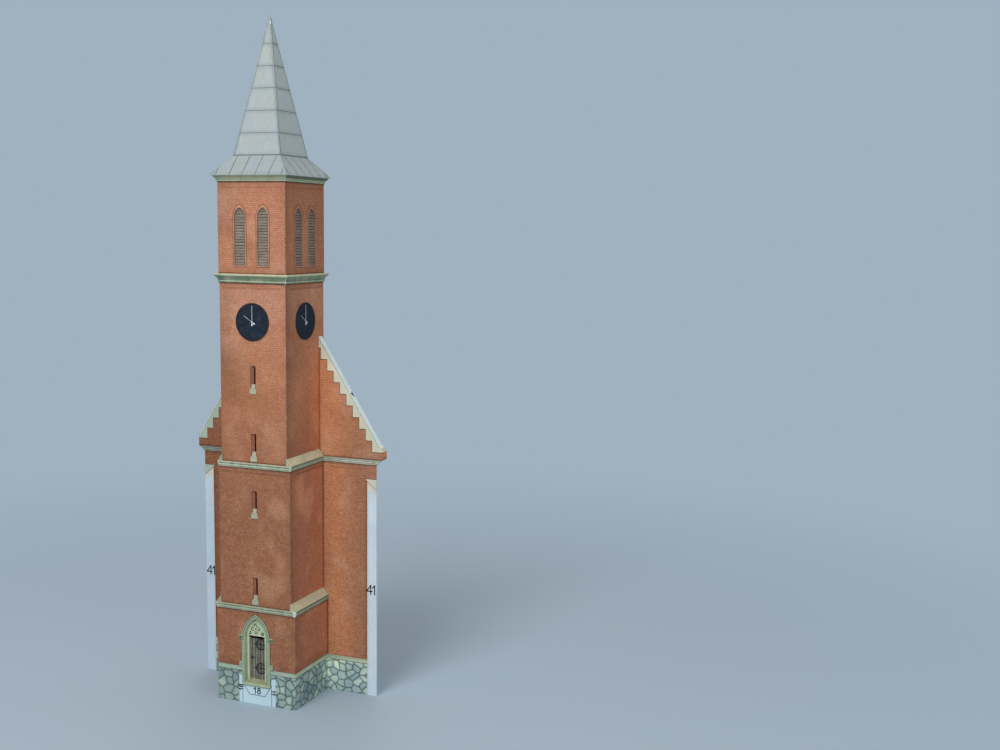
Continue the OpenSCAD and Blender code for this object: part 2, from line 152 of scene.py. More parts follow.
class Mat:
    """A procedural material. Positions are in millimetres in the part's frame.

    Three numbers are a colour as seen on a screen, 0 to 255. Four are taken as they are, to multiply by."""

    def __init__(self, name, rough=0.86, spec=0.22):
        self.mat = bpy.data.materials.new(name)
        self.mat.use_nodes = True
        self.tree = self.mat.node_tree
        self.shader = self.tree.nodes["Principled BSDF"]
        self.shader.inputs["Roughness"].default_value = rough
        self.shader.inputs["Specular IOR Level"].default_value = spec
        coord = self.node("TexCoord")
        scale = self.node("VectorMath", operation="SCALE")
        scale.inputs["Scale"].default_value = 1000
        self.tree.links.new(coord.outputs["Object"], scale.inputs[0])
        self.pos = Value(self, scale.outputs[0])
        self.x, self.y, self.z = self.split(self.pos)
        self.nx, self.ny, self.nz = self.split(Value(self, coord.outputs["Normal"]))

    def node(self, kind, **settings):
        node = self.tree.nodes.new("ShaderNode" + kind)
        for key, value in settings.items():
            setattr(node, key, value)
        return node

    def put(self, socket, value):
        if isinstance(value, Value):
            self.tree.links.new(value.socket, socket)
        else:
            socket.default_value = linear(*value) if socket.type == "RGBA" and len(value) == 3 else value

    def fill(self, node, inputs):
        for key, value in inputs.items():
            self.put(node.inputs[key], value)
        return node

    def split(self, vector):
        node = self.fill(self.node("SeparateXYZ"), {0: vector})
        return [Value(self, socket) for socket in node.outputs]

    def join(self, x, y, z=0.0):
        return Value(self, self.fill(self.node("CombineXYZ"), {0: x, 1: y, 2: z}).outputs[0])

    def math(self, operation, *numbers):
        node = self.fill(self.node("Math", operation=operation), dict(enumerate(numbers)))
        return Value(self, node.outputs[0])

    def step(self, value, start, end, low=0.0, high=1.0):
        """Smooth step from low at start to high at end."""
        node = self.node("MapRange", interpolation_type="SMOOTHSTEP")
        self.fill(node, {"Value": value, "From Min": start, "From Max": end, "To Min": low, "To Max": high})
        return Value(self, node.outputs[0])

    def fade(self, value, start, end, strength=1.0):
        """The strength at start, nothing from end on."""
        return self.step(value, start, end, strength, 0.0)

    def band(self, value, start, end, soft=0.05):
        """1 between start and end, 0 outside."""
        rise = self.step(value, start - soft, start + soft)
        return rise * self.fade(value, end - soft, end + soft)

    def mix(self, fac, a, b, blend="MIX"):
        node = self.node("Mix", data_type="RGBA", blend_type=blend)
        return Value(self, self.fill(node, {0: fac, 6: a, 7: b}).outputs[2])

    def times(self, fac, colour, factors):
        """A colour multiplied by three factors, as far as fac says."""
        return self.mix(fac, colour, factors if isinstance(factors, Value) else (*factors, 1.0), "MULTIPLY")

    def noise(self, scale, detail=2.0, vector=None, rough=0.5):
        inputs = {"Vector": vector or self.pos, "Scale": scale, "Detail": detail, "Roughness": rough}
        return Value(self, self.fill(self.node("TexNoise"), inputs).outputs["Fac"])

    def cloud(self, colour, over, strength, span, *noise, **more):
        """A colour with patches of another over it, where a noise climbs through the span."""
        return self.mix(self.step(self.noise(*noise, **more), *span, 0.0, strength), colour, over)

    def stretched(self, sx, sy, sz):
        node = self.node("VectorMath", operation="MULTIPLY")
        return Value(self, self.fill(node, {0: self.pos, 1: (sx, sy, sz)}).outputs[0])

    def tint(self):
        return Value(self, self.node("Attribute", attribute_name="tint").outputs["Fac"])

    def stripes(self, value, stops):
        """Colour bands: stops are (start, colour) in rising order, in the units of value."""
        low, high = stops[0][0], stops[-1][0] + 0.2
        node = self.node("ValToRGB")
        node.color_ramp.interpolation = "CONSTANT"
        self.put(node.inputs[0], (value - low) / (high - low))
        elements = node.color_ramp.elements
        while len(elements) < len(stops):
            elements.new(0.5)
        for e, (start, colour) in zip(elements, stops):
            e.position = (start - low) / (high - low)
            e.color = linear(*colour)
        return Value(self, node.outputs[0])

    def grain(self, colour, amount=0.1, bump=0.12, scale=5.0):
        """The speckle of the print and the fibre of the card over a colour."""
        speck = self.noise(scale, 3.0, rough=0.7) * 0.6 + self.noise(scale * 0.12, 2.0) * 0.4
        dark = self.mix(self.fade(speck, 0.35, 0.65, amount), colour, (40, 34, 30))
        out = self.mix(self.step(speck, 0.45, 0.75, 0.0, amount * 0.8), dark, (245, 240, 230))
        node = self.node("Bump")
        self.fill(node, {"Strength": bump, "Distance": 0.00006, "Height": self.noise(9.0, 3.0)})
        self.tree.links.new(node.outputs[0], self.shader.inputs["Normal"])
        return out

    def done(self, colour):
        self.put(self.shader.inputs["Base Color"], colour)
        return self.mat


def along_wall(m):
    """The distance along a wall, and 1 on the walls that face to the sides."""
    sideways = abs(m.nx) > 0.6
    u = sideways * (m.y - m.x) + m.x
    return u, sideways


def brick_colour(m, u, warm, sideways=0.0):
    """Fine printed brick courses with airbrushed clouds."""
    level = m.z + m.noise(0.6, 1.0) * 0.1
    a, b = ((220, 150, 105), (208, 137, 93)) if warm else ((206, 143, 111), (194, 130, 100))
    bricks = m.fill(m.node("TexBrick"), {
        "Vector": m.join(u, level), "Color1": a, "Color2": b, "Mortar": (158, 102, 76), "Scale": 1.0,
        "Mortar Size": 0.07, "Mortar Smooth": 0.8, "Bias": 0.0, "Brick Width": 1.25, "Row Height": COURSE})
    row = m.math("FRACT", level / COURSE)
    out = m.mix(m.step(abs(row - 0.5), 0.3, 0.5) * 0.4, Value(m, bricks.outputs["Color"]), (136, 86, 66))
    # darker on the two lower storeys
    low = m.fade(m.z, CLOCK_Z - 18.0, CLOCK_Z + 34.0, 0.2 if warm else 0.6)
    out = m.mix(low, out, (118, 80, 60))
    out = m.cloud(out, (164, 102, 76), 0.3, (0.42, 0.62), 0.075, 2.0)
    out = m.cloud(out, (222, 172, 144), 0.3, (0.5, 0.7), 0.11, 1.0, m.stretched(1, 1, 0.8))
    if not warm:
        # painted light: the side walls are warmer, and redder and brighter above the middle storey
        redder = m.mix(m.z < CLOCK_Z, (1.06, 1.0, 0.88, 1.0), (1.42, 1.18, 1.02, 1.0))
        out = m.times(sideways, out, redder)
        corner = m.fade(m.x, -8.0, 4.0, 0.46) * m.band(m.z, CLOCK_Z + 18.0, CORNICE_Z - 20.0, 4.0)
        out = m.mix(corner, out, (128, 82, 56))
        out = m.mix(m.band(m.z, CORNICE_Z - 11.0, CORNICE_Z - 1.6, 1.0) * 0.16, out, (216, 178, 156))
    coarse = m.step(m.z, MIDDLE_Z + 20.0, CLOCK_Z + 20.0, 0.5, 0.36)
    out = m.cloud(out, (120, 74, 56), coarse, (0.42, 0.68), 2.0, 2.0, rough=0.8)
    light = m.step(m.z, MIDDLE_Z + 20.0, CLOCK_Z + 20.0, 0.34, 0.24)
    out = m.cloud(out, (226, 176, 146), light, (0.48, 0.72), 1.7, 2.0, m.stretched(1, 1, 1.3), 0.8)
    if warm:
        return out
    front = (1.0 - sideways) * m.fade(m.z, CORNICE_Z - 24.0, CORNICE_Z - 16.0)
    return m.times(front, out, (0.97, 0.94, 0.84))


def stone_colour(m, u):
    """Printed rubble plinth with dark joints."""
    warp = m.noise(0.5, 1.0)
    place = m.join(u + warp * 1.2, m.z * 1.12)
    cells, joints = (m.fill(m.node("TexVoronoi", voronoi_dimensions="2D", feature=feature),
                            {"Vector": place, "Scale": 0.38, "Randomness": 0.9})
                     for feature in ("F1", "DISTANCE_TO_EDGE"))
    pick, other, _ = m.split(Value(m, cells.outputs["Color"]))
    stone = m.mix(m.step(pick, 0.15, 0.85), (150, 174, 172), (200, 218, 198))
    stone = m.mix(m.step(other, 0.62, 0.7, 0.0, 0.28), stone, (124, 148, 160))
    stone = m.cloud(stone, (112, 134, 142), 0.42, (0.42, 0.6), 0.16, 1.0)
    stone = m.cloud(stone, (118, 138, 138), 0.2, (0.45, 0.65), 0.6, 2.0)
    stone = m.mix(m.fade(m.x, -8.0, -3.0, 0.34) * (m.x > -GROUND_HALF - 0.1), stone, (96, 118, 122))
    edge = Value(m, joints.outputs["Distance"])
    stone = m.mix(m.fade(edge, 0.02, 0.3, 0.42), stone, (84, 102, 106))
    stone = m.cloud(stone, (106, 122, 122), 0.22, (0.45, 0.7), 1.7, 3.0)
    return m.mix(m.fade(edge, 0.02, 0.055), stone, (36, 48, 54))


GREEN = (146, 166, 142)
DEEP_GREEN = (98, 118, 104)
DARK_GREEN = (74, 88, 76)
LINE = (58, 64, 56)
LEDGE = (188, 200, 172)
BARE = (208, 226, 240)
PAPER = (160, 177, 191)


def worn(m, out, distance):
    """A fold where the print has cracked in places and the pale card shows."""
    ragged = distance + (m.noise(1.1, 3.0) - 0.45) * 0.5
    strength = m.step(m.z, CORNICE_Z, BELFRY_Z, 0.24, 0.5)
    return m.mix(m.fade(ragged, 0.0, 0.14, strength), out, (216, 190, 168))


def moulding_shades(m, out, wing=False):
    """Airbrushed shade under each moulding and over each ledge."""
    tops = (CLOCK_Z - STRING_H,) if wing else (MIDDLE_Z - STRING_H, CLOCK_Z - STRING_H, CORNICE_Z, EAVES_Z)
    for top in tops:
        under = top - m.z
        out = m.mix((under > -0.01) * m.fade(under, 0.0, 1.4, 0.36), out, (96, 60, 48))
        out = m.mix(m.band(under, 0.0, 0.3, 0.06) * 0.6, out, (70, 54, 44))
    for foot in (CLOCK_Z,) if wing else (MIDDLE_Z, CLOCK_Z, BELFRY_Z):
        over = m.z - foot
        out = m.mix((over > 0.0) * m.fade(over, 0.0, 1.2, 0.26), out, (104, 64, 50))
        out = m.mix(m.band(over, 0.0, 0.34, 0.08) * 0.62, out, (84, 52, 42))
    if wing:
        return out
    return m.mix(m.fade(m.z, PLINTH_Z, PLINTH_Z + 4.0, 0.34), out, (84, 52, 42))


def plinth(m, out, stone, ledge=LEDGE):
    """The stones at the foot and the ledge over them."""
    out = m.mix(m.z < PLINTH_Z, out, stone)
    ledge = m.mix(m.band(m.z, STONE_Z + 0.78, STONE_Z + 0.98, 0.04), ledge, GREEN)
    ledge = m.cloud(ledge, GREEN, 0.25, (0.45, 0.7), 0.9, 3.0)
    out = m.mix(m.band(m.z, STONE_Z, PLINTH_Z, 0.02), out, ledge)
    out = m.mix(m.band(m.z, STONE_Z - 0.12, STONE_Z + 0.06, 0.04), out, (76, 84, 76))
    return m.mix(m.band(m.z, PLINTH_Z - 0.05, PLINTH_Z + 0.1, 0.04), out, (86, 66, 54))


def tower_edge(m, sideways):
    """The distance from the front corners of each storey."""
    half = CLOCK_HALF + ((m.z < MIDDLE_Z) * (GROUND_HALF - MIDDLE_HALF)
                         + (m.z < CLOCK_Z) * (MIDDLE_HALF - CLOCK_HALF))
    belfry = m.z > BELFRY_Z - 0.5
    front = half + belfry * (BELFRY_HALF - CLOCK_HALF) - abs(m.x)
    side = m.y - FRONT + belfry * (FRONT - BELFRY_Y)
    return sideways * (side - front) + front


def tower_material():
    """Walls of the tower, darker towards the corners, with painted shade on the side walls and by the
    clock, and painted light towards the wings.
    """
    m = Mat("brick_print", 0.86, 0.2)
    u, sideways = along_wall(m)
    edge = tower_edge(m, sideways)
    out = brick_colour(m, u, False, sideways)
    out = m.mix(m.fade(edge, 0.1, 2.6, 0.14), out, (120, 76, 58))
    # darker near the side walls' front corners, as the print is, and painted shade over the belfry's side
    # walls
    dim = m.math("MAXIMUM", m.fade(edge, 0.1, 7.0, 0.34), (m.z > BELFRY_Z) * 0.2)
    out = m.mix(sideways * dim, out, (104, 66, 48))
    foot = m.fade(m.z, BELFRY_Z + 1.2, BELFRY_Z + 3.0, 0.24) * (m.z > BELFRY_Z - 0.1)
    out = m.mix(foot, out, (124, 84, 64))
    out = m.mix(m.fade(edge, 0.05, 0.22, 0.3), out, (110, 70, 54))
    # painted warm light on the lower rear of the side walls, bounced from the wings
    rear = sideways * m.fade(m.z, CORNICE_Z - 30.0, CORNICE_Z - 12.0)
    out = m.times(rear * m.step(m.y, 0.0, 8.0), out, (1.2, 1.2, 1.12))
    out = m.times(rear * (m.z > CLOCK_Z) * m.step(m.y, -4.0, 6.0), out, (1.12, 1.0, 0.96))
    # painted shade: a dark line on the side walls where they meet the wings, below the gables' tops
    corner = m.band(m.y, WING_Y - 0.3, WING_Y + 0.3) * (m.z < GABLE_TOP)
    out = m.mix(corner * sideways * 0.5, out, (84, 50, 40))
    # painted shade by the clock on the side walls' front parts and on the front's left part, and on the
    # upper left of the belfry's front
    by_clock = m.band(m.z, CORNICE_Z - 28.0, CORNICE_Z - 1.0, 4.0)
    out = m.times(by_clock * m.fade(m.y, -5.0, 1.0, 0.9) * sideways, out, (0.8, 0.8, 0.83))
    high = m.step(m.z, BELFRY_Z + 8.0, BELFRY_Z + 14.0) * m.fade(m.x, -10.0, -1.0)
    high = m.math("MAXIMUM", high, by_clock * m.fade(m.x, -9.0, -5.0, 0.9))
    out = m.times(high * (1.0 - sideways), out, (0.82, 0.86, 0.86))
    out = moulding_shades(m, out)
    stone = stone_colour(m, u)
    across = m.mix(m.step(m.x, -6.0, 6.0), (1.1, 1.14, 1.1, 1.0), (0.86, 0.91, 0.95, 1.0))
    stone = m.times(1.0, stone, across)
    # painted light on the side walls' stones towards the wings
    stone = m.times(sideways * m.step(m.y, 0.0, 8.0), stone, (1.3, 1.3, 1.26))
    out = plinth(m, out, stone, m.mix(sideways, (165, 187, 172), LEDGE))
    return m.done(m.grain(worn(m, out, edge), 0.08, 0.15))


def cheek_material():
    """Small folded cheeks at the outer feet of the gables."""
    m = Mat("cheek_brick_print", 0.86, 0.2)
    u, sideways = along_wall(m)
    # the cheeks' side faces are lightened: painted light
    out = m.times(sideways, brick_colour(m, u, True), (1.16, 1.14, 1.05))
    out = plinth(m, moulding_shades(m, out), stone_colour(m, u))
    return m.done(m.grain(worn(m, out, CHEEK_Y - 0.15 - m.y), 0.08, 0.15))


def wing_material():
    """Walls behind the tower: the left one dark, the right one with painted light near the tower and
    painted shade further out.
    """
    m = Mat("wing_brick_print", 0.86, 0.2)
    u, _ = along_wall(m)
    across = abs(m.x)
    inner = CLOCK_HALF + (m.z < CLOCK_Z) * (MIDDLE_HALF - CLOCK_HALF)
    off = across - (inner + (m.z < MIDDLE_Z) * (GROUND_HALF - MIDDLE_HALF))
    right = m.x > 0.0
    out = m.times(1.0 - right, brick_colour(m, u, True), (0.52, 0.5, 0.5))
    # painted light on the right wing near the tower, where the tower shades it
    out = m.times(right * m.fade(off, 0.0, 9.0, 0.56), out, (1.46, 1.56, 1.5))
    # painted shade: a dark line where the wings meet the tower
    out = m.mix(m.fade(off, 0.3, 0.55, 0.6), out, (74, 44, 36))
    # painted shade on the right wing further from the tower
    out = m.times(right * m.step(off, 5.0, 14.0), out, (0.76, 0.82, 0.87))
    by_tab = (m.z < TAB_TOP) * m.step(across, TAB_X - 1.3, TAB_X - 0.1, 0.0, 0.65)
    out = m.mix(by_tab, out, (120, 74, 48))
    stone = m.times(1.0, stone_colour(m, u), (1.06, 1.08, 1.16))
    # painted light on the right wing's stones near the tower, where the tower shades them
    stone = m.times(right * m.fade(off, 0.0, 11.0), stone, (1.7, 1.68, 1.52))
    out = plinth(m, moulding_shades(m, out, wing=True), stone)
    out = worn(m, out, KNEELER_X - across + 0.05)
    # the backs of the single cards and the cut ends of the wings are bare
    end = m.step(abs(m.ny), 0.6, 0.4) * (across < WING_X + 0.1)
    out = m.mix(m.math("MAXIMUM", m.step(m.ny, 0.4, 0.6), end), out, BARE)
    return m.done(m.grain(out, 0.08, 0.15))


def striped_material(name, stops, reach=0.0, wear=0.35, dim=0.0, fold=False, shade=None, left=None):
    """Printed bands, worn at the front folds if their reach is given.

    dim darkens all of it, fold wears the front right fold of a cornice, shade darkens a band of the side
    faces, and left multiplies the left half."""
    m = Mat(name, 0.84, 0.22)
    wobble = m.z + (m.noise(0.8, 2.0) - 0.5) * 0.05
    out = m.stripes(wobble, stops)
    out = m.cloud(out, (206, 206, 186), 0.3, (0.4, 0.7), 0.35, 2.0, m.stretched(1, 1, 0.3))
    out = m.cloud(out, (96, 104, 88), 0.25, (0.5, 0.75), 0.5, 3.0, m.stretched(1, 1, 0.5))
    if dim:
        out = m.mix(dim, out, (84, 96, 80))
    if shade:
        start, end, strength, tone = shade
        sideways = abs(m.nx) > 0.35
        out = m.mix(sideways * m.band(m.z, start, end, 0.04) * strength, out, tone)
    if left:
        out = m.times(m.x < 0.0, out, left)
    if reach:
        near = m.step(abs(m.x), reach - wear - 0.2, reach - wear + 0.15)
        near = near * m.fade(m.y, FRONT + 0.1, FRONT + 0.45)
        # only a trace of the wear on the left fold
        near = near * m.step(m.x, -1.0, 1.0, 0.35, 1.0)
        out = m.mix(near * m.step(m.noise(1.4, 2.0), 0.3, 0.5, 0.4, 0.9), out, (220, 224, 210))
    if fold:
        off = abs(abs(m.x) - abs(m.y)) + (m.noise(1.6, 2.0) - 0.45) * 0.3
        out = m.times(1.0, out, (1.0, 0.96, 0.88))
        out = m.times(m.fade(m.x, -12.0, -7.0), out, (0.72, 0.8, 0.82))
        near = m.fade(off, 0.04, 0.2, 0.85) * (m.x > 0.0) * (m.y < 0.0)
        out = m.mix(near, out, (232, 234, 216))
    return m.done(m.grain(out, 0.1))


def bands(foot, height, first, *stops):
    """Colour bands from the foot up; the others start at parts of the height."""
    return [(foot - 0.2, first)] + [(foot + part * height, colour) for part, colour in stops]


def string_stops(foot):
    """Bands of the tower's string courses."""
    return bands(foot, 1.0, LINE, (0.1, (172, 180, 154)), (0.32, (92, 108, 90)), (0.44, (160, 176, 152)),
                 (0.54, (186, 200, 174)), (0.9, GREEN), (0.98, DARK_GREEN), (1.2, (160, 172, 146)),
                 (1.42, (184, 184, 156)))


def wing_stops(foot):
    """Greyer bands of the string course under the gables."""
    return bands(foot, 1.0, (104, 108, 92), (0.1, (206, 208, 190)), (0.42, (84, 94, 84)),
                 (0.58, (212, 214, 198)), (1.0, (80, 92, 84)), (1.16, (190, 196, 178)),
                 (1.56, (112, 110, 94)))


def cornice_stops(foot, top):
    """Bands of the cornice under the belfry."""
    return bands(foot, top - foot, LINE, (0.05, GREEN), (0.09, (172, 186, 160)), (0.25, DEEP_GREEN),
                 (0.31, (112, 134, 116)), (0.45, (134, 154, 132)), (0.62, (146, 164, 140)),
                 (0.7, DEEP_GREEN), (0.75, (172, 186, 160)), (0.83, (204, 208, 180)))


def eaves_stops(foot, top):
    """Bands of the cornice under the roof."""
    return bands(foot, top - foot, LINE, (0.05, GREEN), (0.1, (186, 198, 172)), (0.26, (128, 148, 126)),
                 (0.34, (176, 188, 160)), (0.5, (196, 204, 178)), (0.72, (134, 154, 132)),
                 (0.78, (206, 210, 186)))


def plain_card(name, colour, cloud, rough=0.86, spec=0.22, amount=0.1, left=(1, 1, 1)):
    """One printed colour with faint clouds; left multiplies the left half."""
    m = Mat(name, rough, spec)
    out = m.times(m.x < 0.0, m.cloud(colour, cloud, 1.0, (0.35, 0.7), 0.22, 3.0), left)
    return m.done(m.grain(out, amount, 0.15))


def cream_material(name, sill=False):
    """Cream stone of the copings and the kneelers, or of the slits' sills, which are dimmer."""
    m = Mat(name)
    out = m.cloud((204, 208, 188), (194, 200, 180), 1.0, (0.35, 0.7), 0.3, 3.0)
    out = m.cloud(out, (170, 178, 156), 0.25, (0.5, 0.75), 1.6, 3.0, rough=0.7)
    # faces turned to the sides are lightened: painted light
    out = m.times(abs(m.nx) > 0.5, out, (1.24, 1.24, 1.22))
    if sill:
        height = m.step(m.z, MIDDLE_Z + 4.0, MIDDLE_Z + 26.0)
        out = m.times(height, out, (0.62, 0.62, 0.56))
        out = m.times(1.0 - height, out, (0.66, 0.66, 0.61))
        out = m.times(m.z > MIDDLE_Z + 16.0, out, (1.25, 1.2, 1.18))
    else:
        out = m.times(m.x < -CLOCK_HALF, out, (0.73, 0.82, 0.84))
        out = m.times(m.x > 0.0, out, (1.1, 1.05, 1.06))
        high = (m.x > 0.0) * m.step(m.z, CLOCK_Z + 16.0, CLOCK_Z + 30.0)
        out = m.times(high, out, (1.22, 1.2, 1.23))
    return m.done(m.grain(out, 0.09))


def portal_material():
    """The portal's orders: painted light makes them paler from the outer one to the inner one, and lights
    the left jamb's reveals.
    """
    m = Mat("portal_print")
    out = m.cloud((146, 165, 141), (156, 172, 146), 1.0, (0.35, 0.65), 0.45, 2.0)
    # painted light, more of it the deeper a face lies in the recess
    out = m.mix(m.step(m.y, PORTAL_Y + 0.5, PORTAL_Y + 0.66, 0.0, 0.7), out, (176, 188, 160))
    deep = m.math("MAXIMUM", m.step(m.y, PORTAL_Y + 0.74, PORTAL_Y + 0.95, 0.0, 0.9),
                  (m.y > PORTAL_Y + 0.5) * (abs(m.x) < PORTAL_HALF - 1.46))
    out = m.mix(deep, out, (194, 206, 166))
    lit = (m.nx > 0.4) * (m.x < 0.0)
    out = m.mix(lit * (0.35 + deep * 0.25), out, (220, 228, 190))
    out = m.cloud(out, (140, 152, 122), 0.25, (0.52, 0.78), 1.9, 3.0)
    return m.done(m.grain(out, 0.12))


def tympanum_material():
    m = Mat("tympanum_print")
    out = m.cloud((186, 204, 172), (196, 208, 180), 1.0, (0.35, 0.65), 0.5, 2.0)
    out = m.cloud(out, (150, 166, 136), 0.25, (0.52, 0.78), 1.9, 3.0)
    return m.done(m.grain(out, 0.1))


def sill_material():
    """The step's face is pale, the slanting sill behind it is darker, a little unevenly."""
    m = Mat("door_sill_print")
    out = m.cloud((172, 190, 158), (164, 180, 148), 1.0, (0.35, 0.65), 0.5, 2.0)
    behind = (m.z > DOOR_FOOT + 0.02) * (m.y > PORTAL_Y + 0.05)
    out = m.mix(behind * m.step(m.noise(0.8, 2.0), 0.3, 0.7, 0.7, 0.9), out, (130, 128, 98))
    return m.done(m.grain(out, 0.12))


def weathering_material():
    m = Mat("weathering_print")
    out = m.cloud((206, 198, 168), (190, 184, 154), 1.0, (0.35, 0.68), 0.28, 3.0)
    out = m.cloud(out, (150, 144, 118), 0.25, (0.5, 0.8), 2.2, 2.0, m.stretched(1, 0.3, 1))
    out = m.mix((m.z < CLOCK_Z - 5.0) * 0.14, out, (116, 112, 90))
    return m.done(m.grain(out, 0.1))


def zinc_material():
    """Printed sheet metal: each sheet brushed darker towards its joints."""
    m = Mat("zinc_print", 0.66, 0.3)
    u, sideways = along_wall(m)
    out = m.cloud((176, 187, 192), (178, 187, 186), 1.0, (0.38, 0.62), 0.14, 2.0)
    out = m.cloud(out, (176, 188, 202), 0.5, (0.5, 0.7), 0.26, 2.0, m.stretched(1, 1, 0.6))
    streak = m.noise(1.3, 3.0, m.join(u, m.z * 0.2, sideways))
    out = m.mix(m.step(streak, 0.42, 0.72, 0.0, 0.22), out, (148, 160, 164))
    course = (SHEET_TOP - SPIRE_Z) / SHEET_ROWS
    row = m.math("FRACT", (m.z - SPIRE_Z) / course)
    near = m.math("MINIMUM", row, 1.0 - row) * course
    high = m.z > SPIRE_Z
    out = m.mix(high * m.fade(near, 0.1, 1.3, 0.36), out, (134, 148, 152))
    half = (APEX_Z - m.z) * (SPIRE_HALF / (APEX_Z - SPIRE_Z))
    hip = half - abs(u)
    out = m.mix(high * m.fade(hip, 0.1, 1.1, 0.4), out, (130, 144, 146))
    foot = m.z - SKIRT_Z
    out = m.mix((1.0 - high) * m.fade(foot, 0.1, 1.6, 0.3), out, (140, 152, 156))
    out = m.mix(0.42 - high * 0.42, out, (128, 144, 148))
    out = m.mix(high * 0.08, out, (110, 122, 124))
    # painted light on the spire's side faces, and painted shade on the fronts and backs of the roof
    out = m.times(high * sideways * 0.8, out, (1.1, 1.16, 1.12))
    out = m.times(1.0 - sideways, out, (0.94, 0.94, 0.92))
    # the tip's front right fold is worn down to the card
    bald = m.band(m.z, APEX_Z - 2.2, APEX_Z - 1.2, 0.15) * m.fade(hip, 0.0, 0.14, 0.9)
    out = m.mix(bald * (m.y < 0.0) * (m.x > 0.0), out, (226, 236, 234))
    return m.done(m.grain(out, 0.07, 0.1))


def timber_material(name, a, b, upright):
    """Boards between two colours, by their tint, with a grain that runs along them."""
    m = Mat(name, 0.82, 0.2)
    stretch = m.stretched(6.0, 6.0, 0.5) if upright else m.stretched(0.5, 0.5, 6.0)
    out = m.mix(m.tint(), a, b)
    out = m.cloud(out, (66, 58, 54), 0.5, (0.42, 0.7), 0.9, 4.0, stretch, 0.65)
    return m.done(m.grain(out, 0.12))


def slit_material():
    """The inside of the slits: painted shade on its left, brick lightened with painted light on its right,
    and red at the back, lightened with painted light.
    """
    m = Mat("slit_inside", 0.88, 0.15)
    sideways = abs(m.nx) > 0.6
    left = sideways * (m.x < 0.0)
    out = m.mix(left, (108, 64, 50), m.mix(0.5, brick_colour(m, m.y, False), (232, 164, 132)))
    out = m.mix(abs(m.nx) < 0.4, out, (176, 100, 84))
    return m.done(m.grain(out, 0.1))


def voussoir_material():
    m = Mat("voussoir_print", 0.86, 0.2)
    out = m.mix(m.tint(), (202, 134, 102), (186, 118, 90))
    # painted shade on the faces turned to the sides, so on the side walls' arches
    out = m.times(abs(m.nx) > 0.6, out, (0.74, 0.76, 0.8))
    return m.done(m.grain(out, 0.14))


def dial_material():
    m = Mat("dial_print", 0.8, 0.15)
    r = m.math("SQRT", (m.z - DIAL_Z) ** 2.0 + m.math("MINIMUM", m.x ** 2.0, m.y ** 2.0))
    out = m.cloud((30, 42, 58), (24, 34, 48), 1.0, (0.35, 0.7), 1.1, 3.0)
    out = m.mix(m.step(r, 4.9, 5.4, 0.0, 0.6), out, (18, 24, 36))
    return m.done(m.grain(out, 0.05))


def tab_material():
    """Bare card of the base and the gluing areas."""
    m = Mat("bare_card", 0.88, 0.2)
    out = m.cloud(BARE, (200, 219, 234), 1.0, (0.35, 0.65), 0.1, 2.0)
    # painted shade on the left gluing area
    out = m.mix((m.x < -TAB_X) * 0.12, out, (120, 150, 184))
    across = abs(m.x)
    # the print of the wings runs a little over the fold of their gluing areas
    out = m.times(across < 8.0, out, (0.9, 0.98, 0.96))
    tab = (across > TAB_X - 0.9) * (m.z < TAB_TOP)
    hypotenuse = TAB_TOP - 0.3 - m.z - (across - (TAB_X - 0.75)) * 0.85
    out = m.mix(tab * m.fade(hypotenuse, 0.3, 3.2, 0.75), out, (212, 208, 184))
    out = m.mix(tab * m.fade(across, TAB_X - 0.1, TAB_X + 0.8, 0.7), out, (204, 184, 162))
    return m.done(m.grain(out, 0.06, 0.2))


MATS = {
    "brick": tower_material(),
    "wing_brick": wing_material(),
    "cheek_brick": cheek_material(),
    "lower_string": striped_material(
        "lower_string_print", string_stops(MIDDLE_Z - STRING_H), GROUND_HALF + STRING_OUT, 1.1, 0.2,
        shade=(MIDDLE_Z - 0.62, MIDDLE_Z + 0.1, 0.8, (108, 110, 82))),
    "upper_string": striped_material(
        "upper_string_print", string_stops(CLOCK_Z - STRING_H), MIDDLE_HALF + STRING_OUT,
        shade=(CLOCK_Z - 0.5, CLOCK_Z + 0.1, 0.6, (112, 118, 92))),
    "wing_string": striped_material(
        "wing_string_print", wing_stops(CLOCK_Z - STRING_H), left=(0.57, 0.58, 0.62)),
    "belfry_cornice": striped_material(
        "belfry_cornice_print", cornice_stops(CORNICE_Z, BELFRY_Z), fold=True),
    "eaves_cornice": striped_material(
        "eaves_cornice_print", eaves_stops(EAVES_Z, SKIRT_Z), fold=True,
        shade=(EAVES_Z + 0.5 * (SKIRT_Z - EAVES_Z), SKIRT_Z + 0.1, 0.75, (52, 78, 68))),
    "weathering": weathering_material(),
    "voussoir": voussoir_material(),
    "cream": cream_material("cream_print"),
    "sill_stone": cream_material("sill_stone_print", sill=True),
    "portal": portal_material(),
    "tympanum": tympanum_material(),
    "sill": sill_material(),
    "zinc": zinc_material(),
    "bare": tab_material(),
    "slat": timber_material("louvre_boards", (152, 139, 126), (136, 123, 111), False),
    "plank": timber_material("door_boards", (136, 136, 124), (114, 112, 104), True),
    "slit": slit_material(),
    "dial": dial_material(),
}
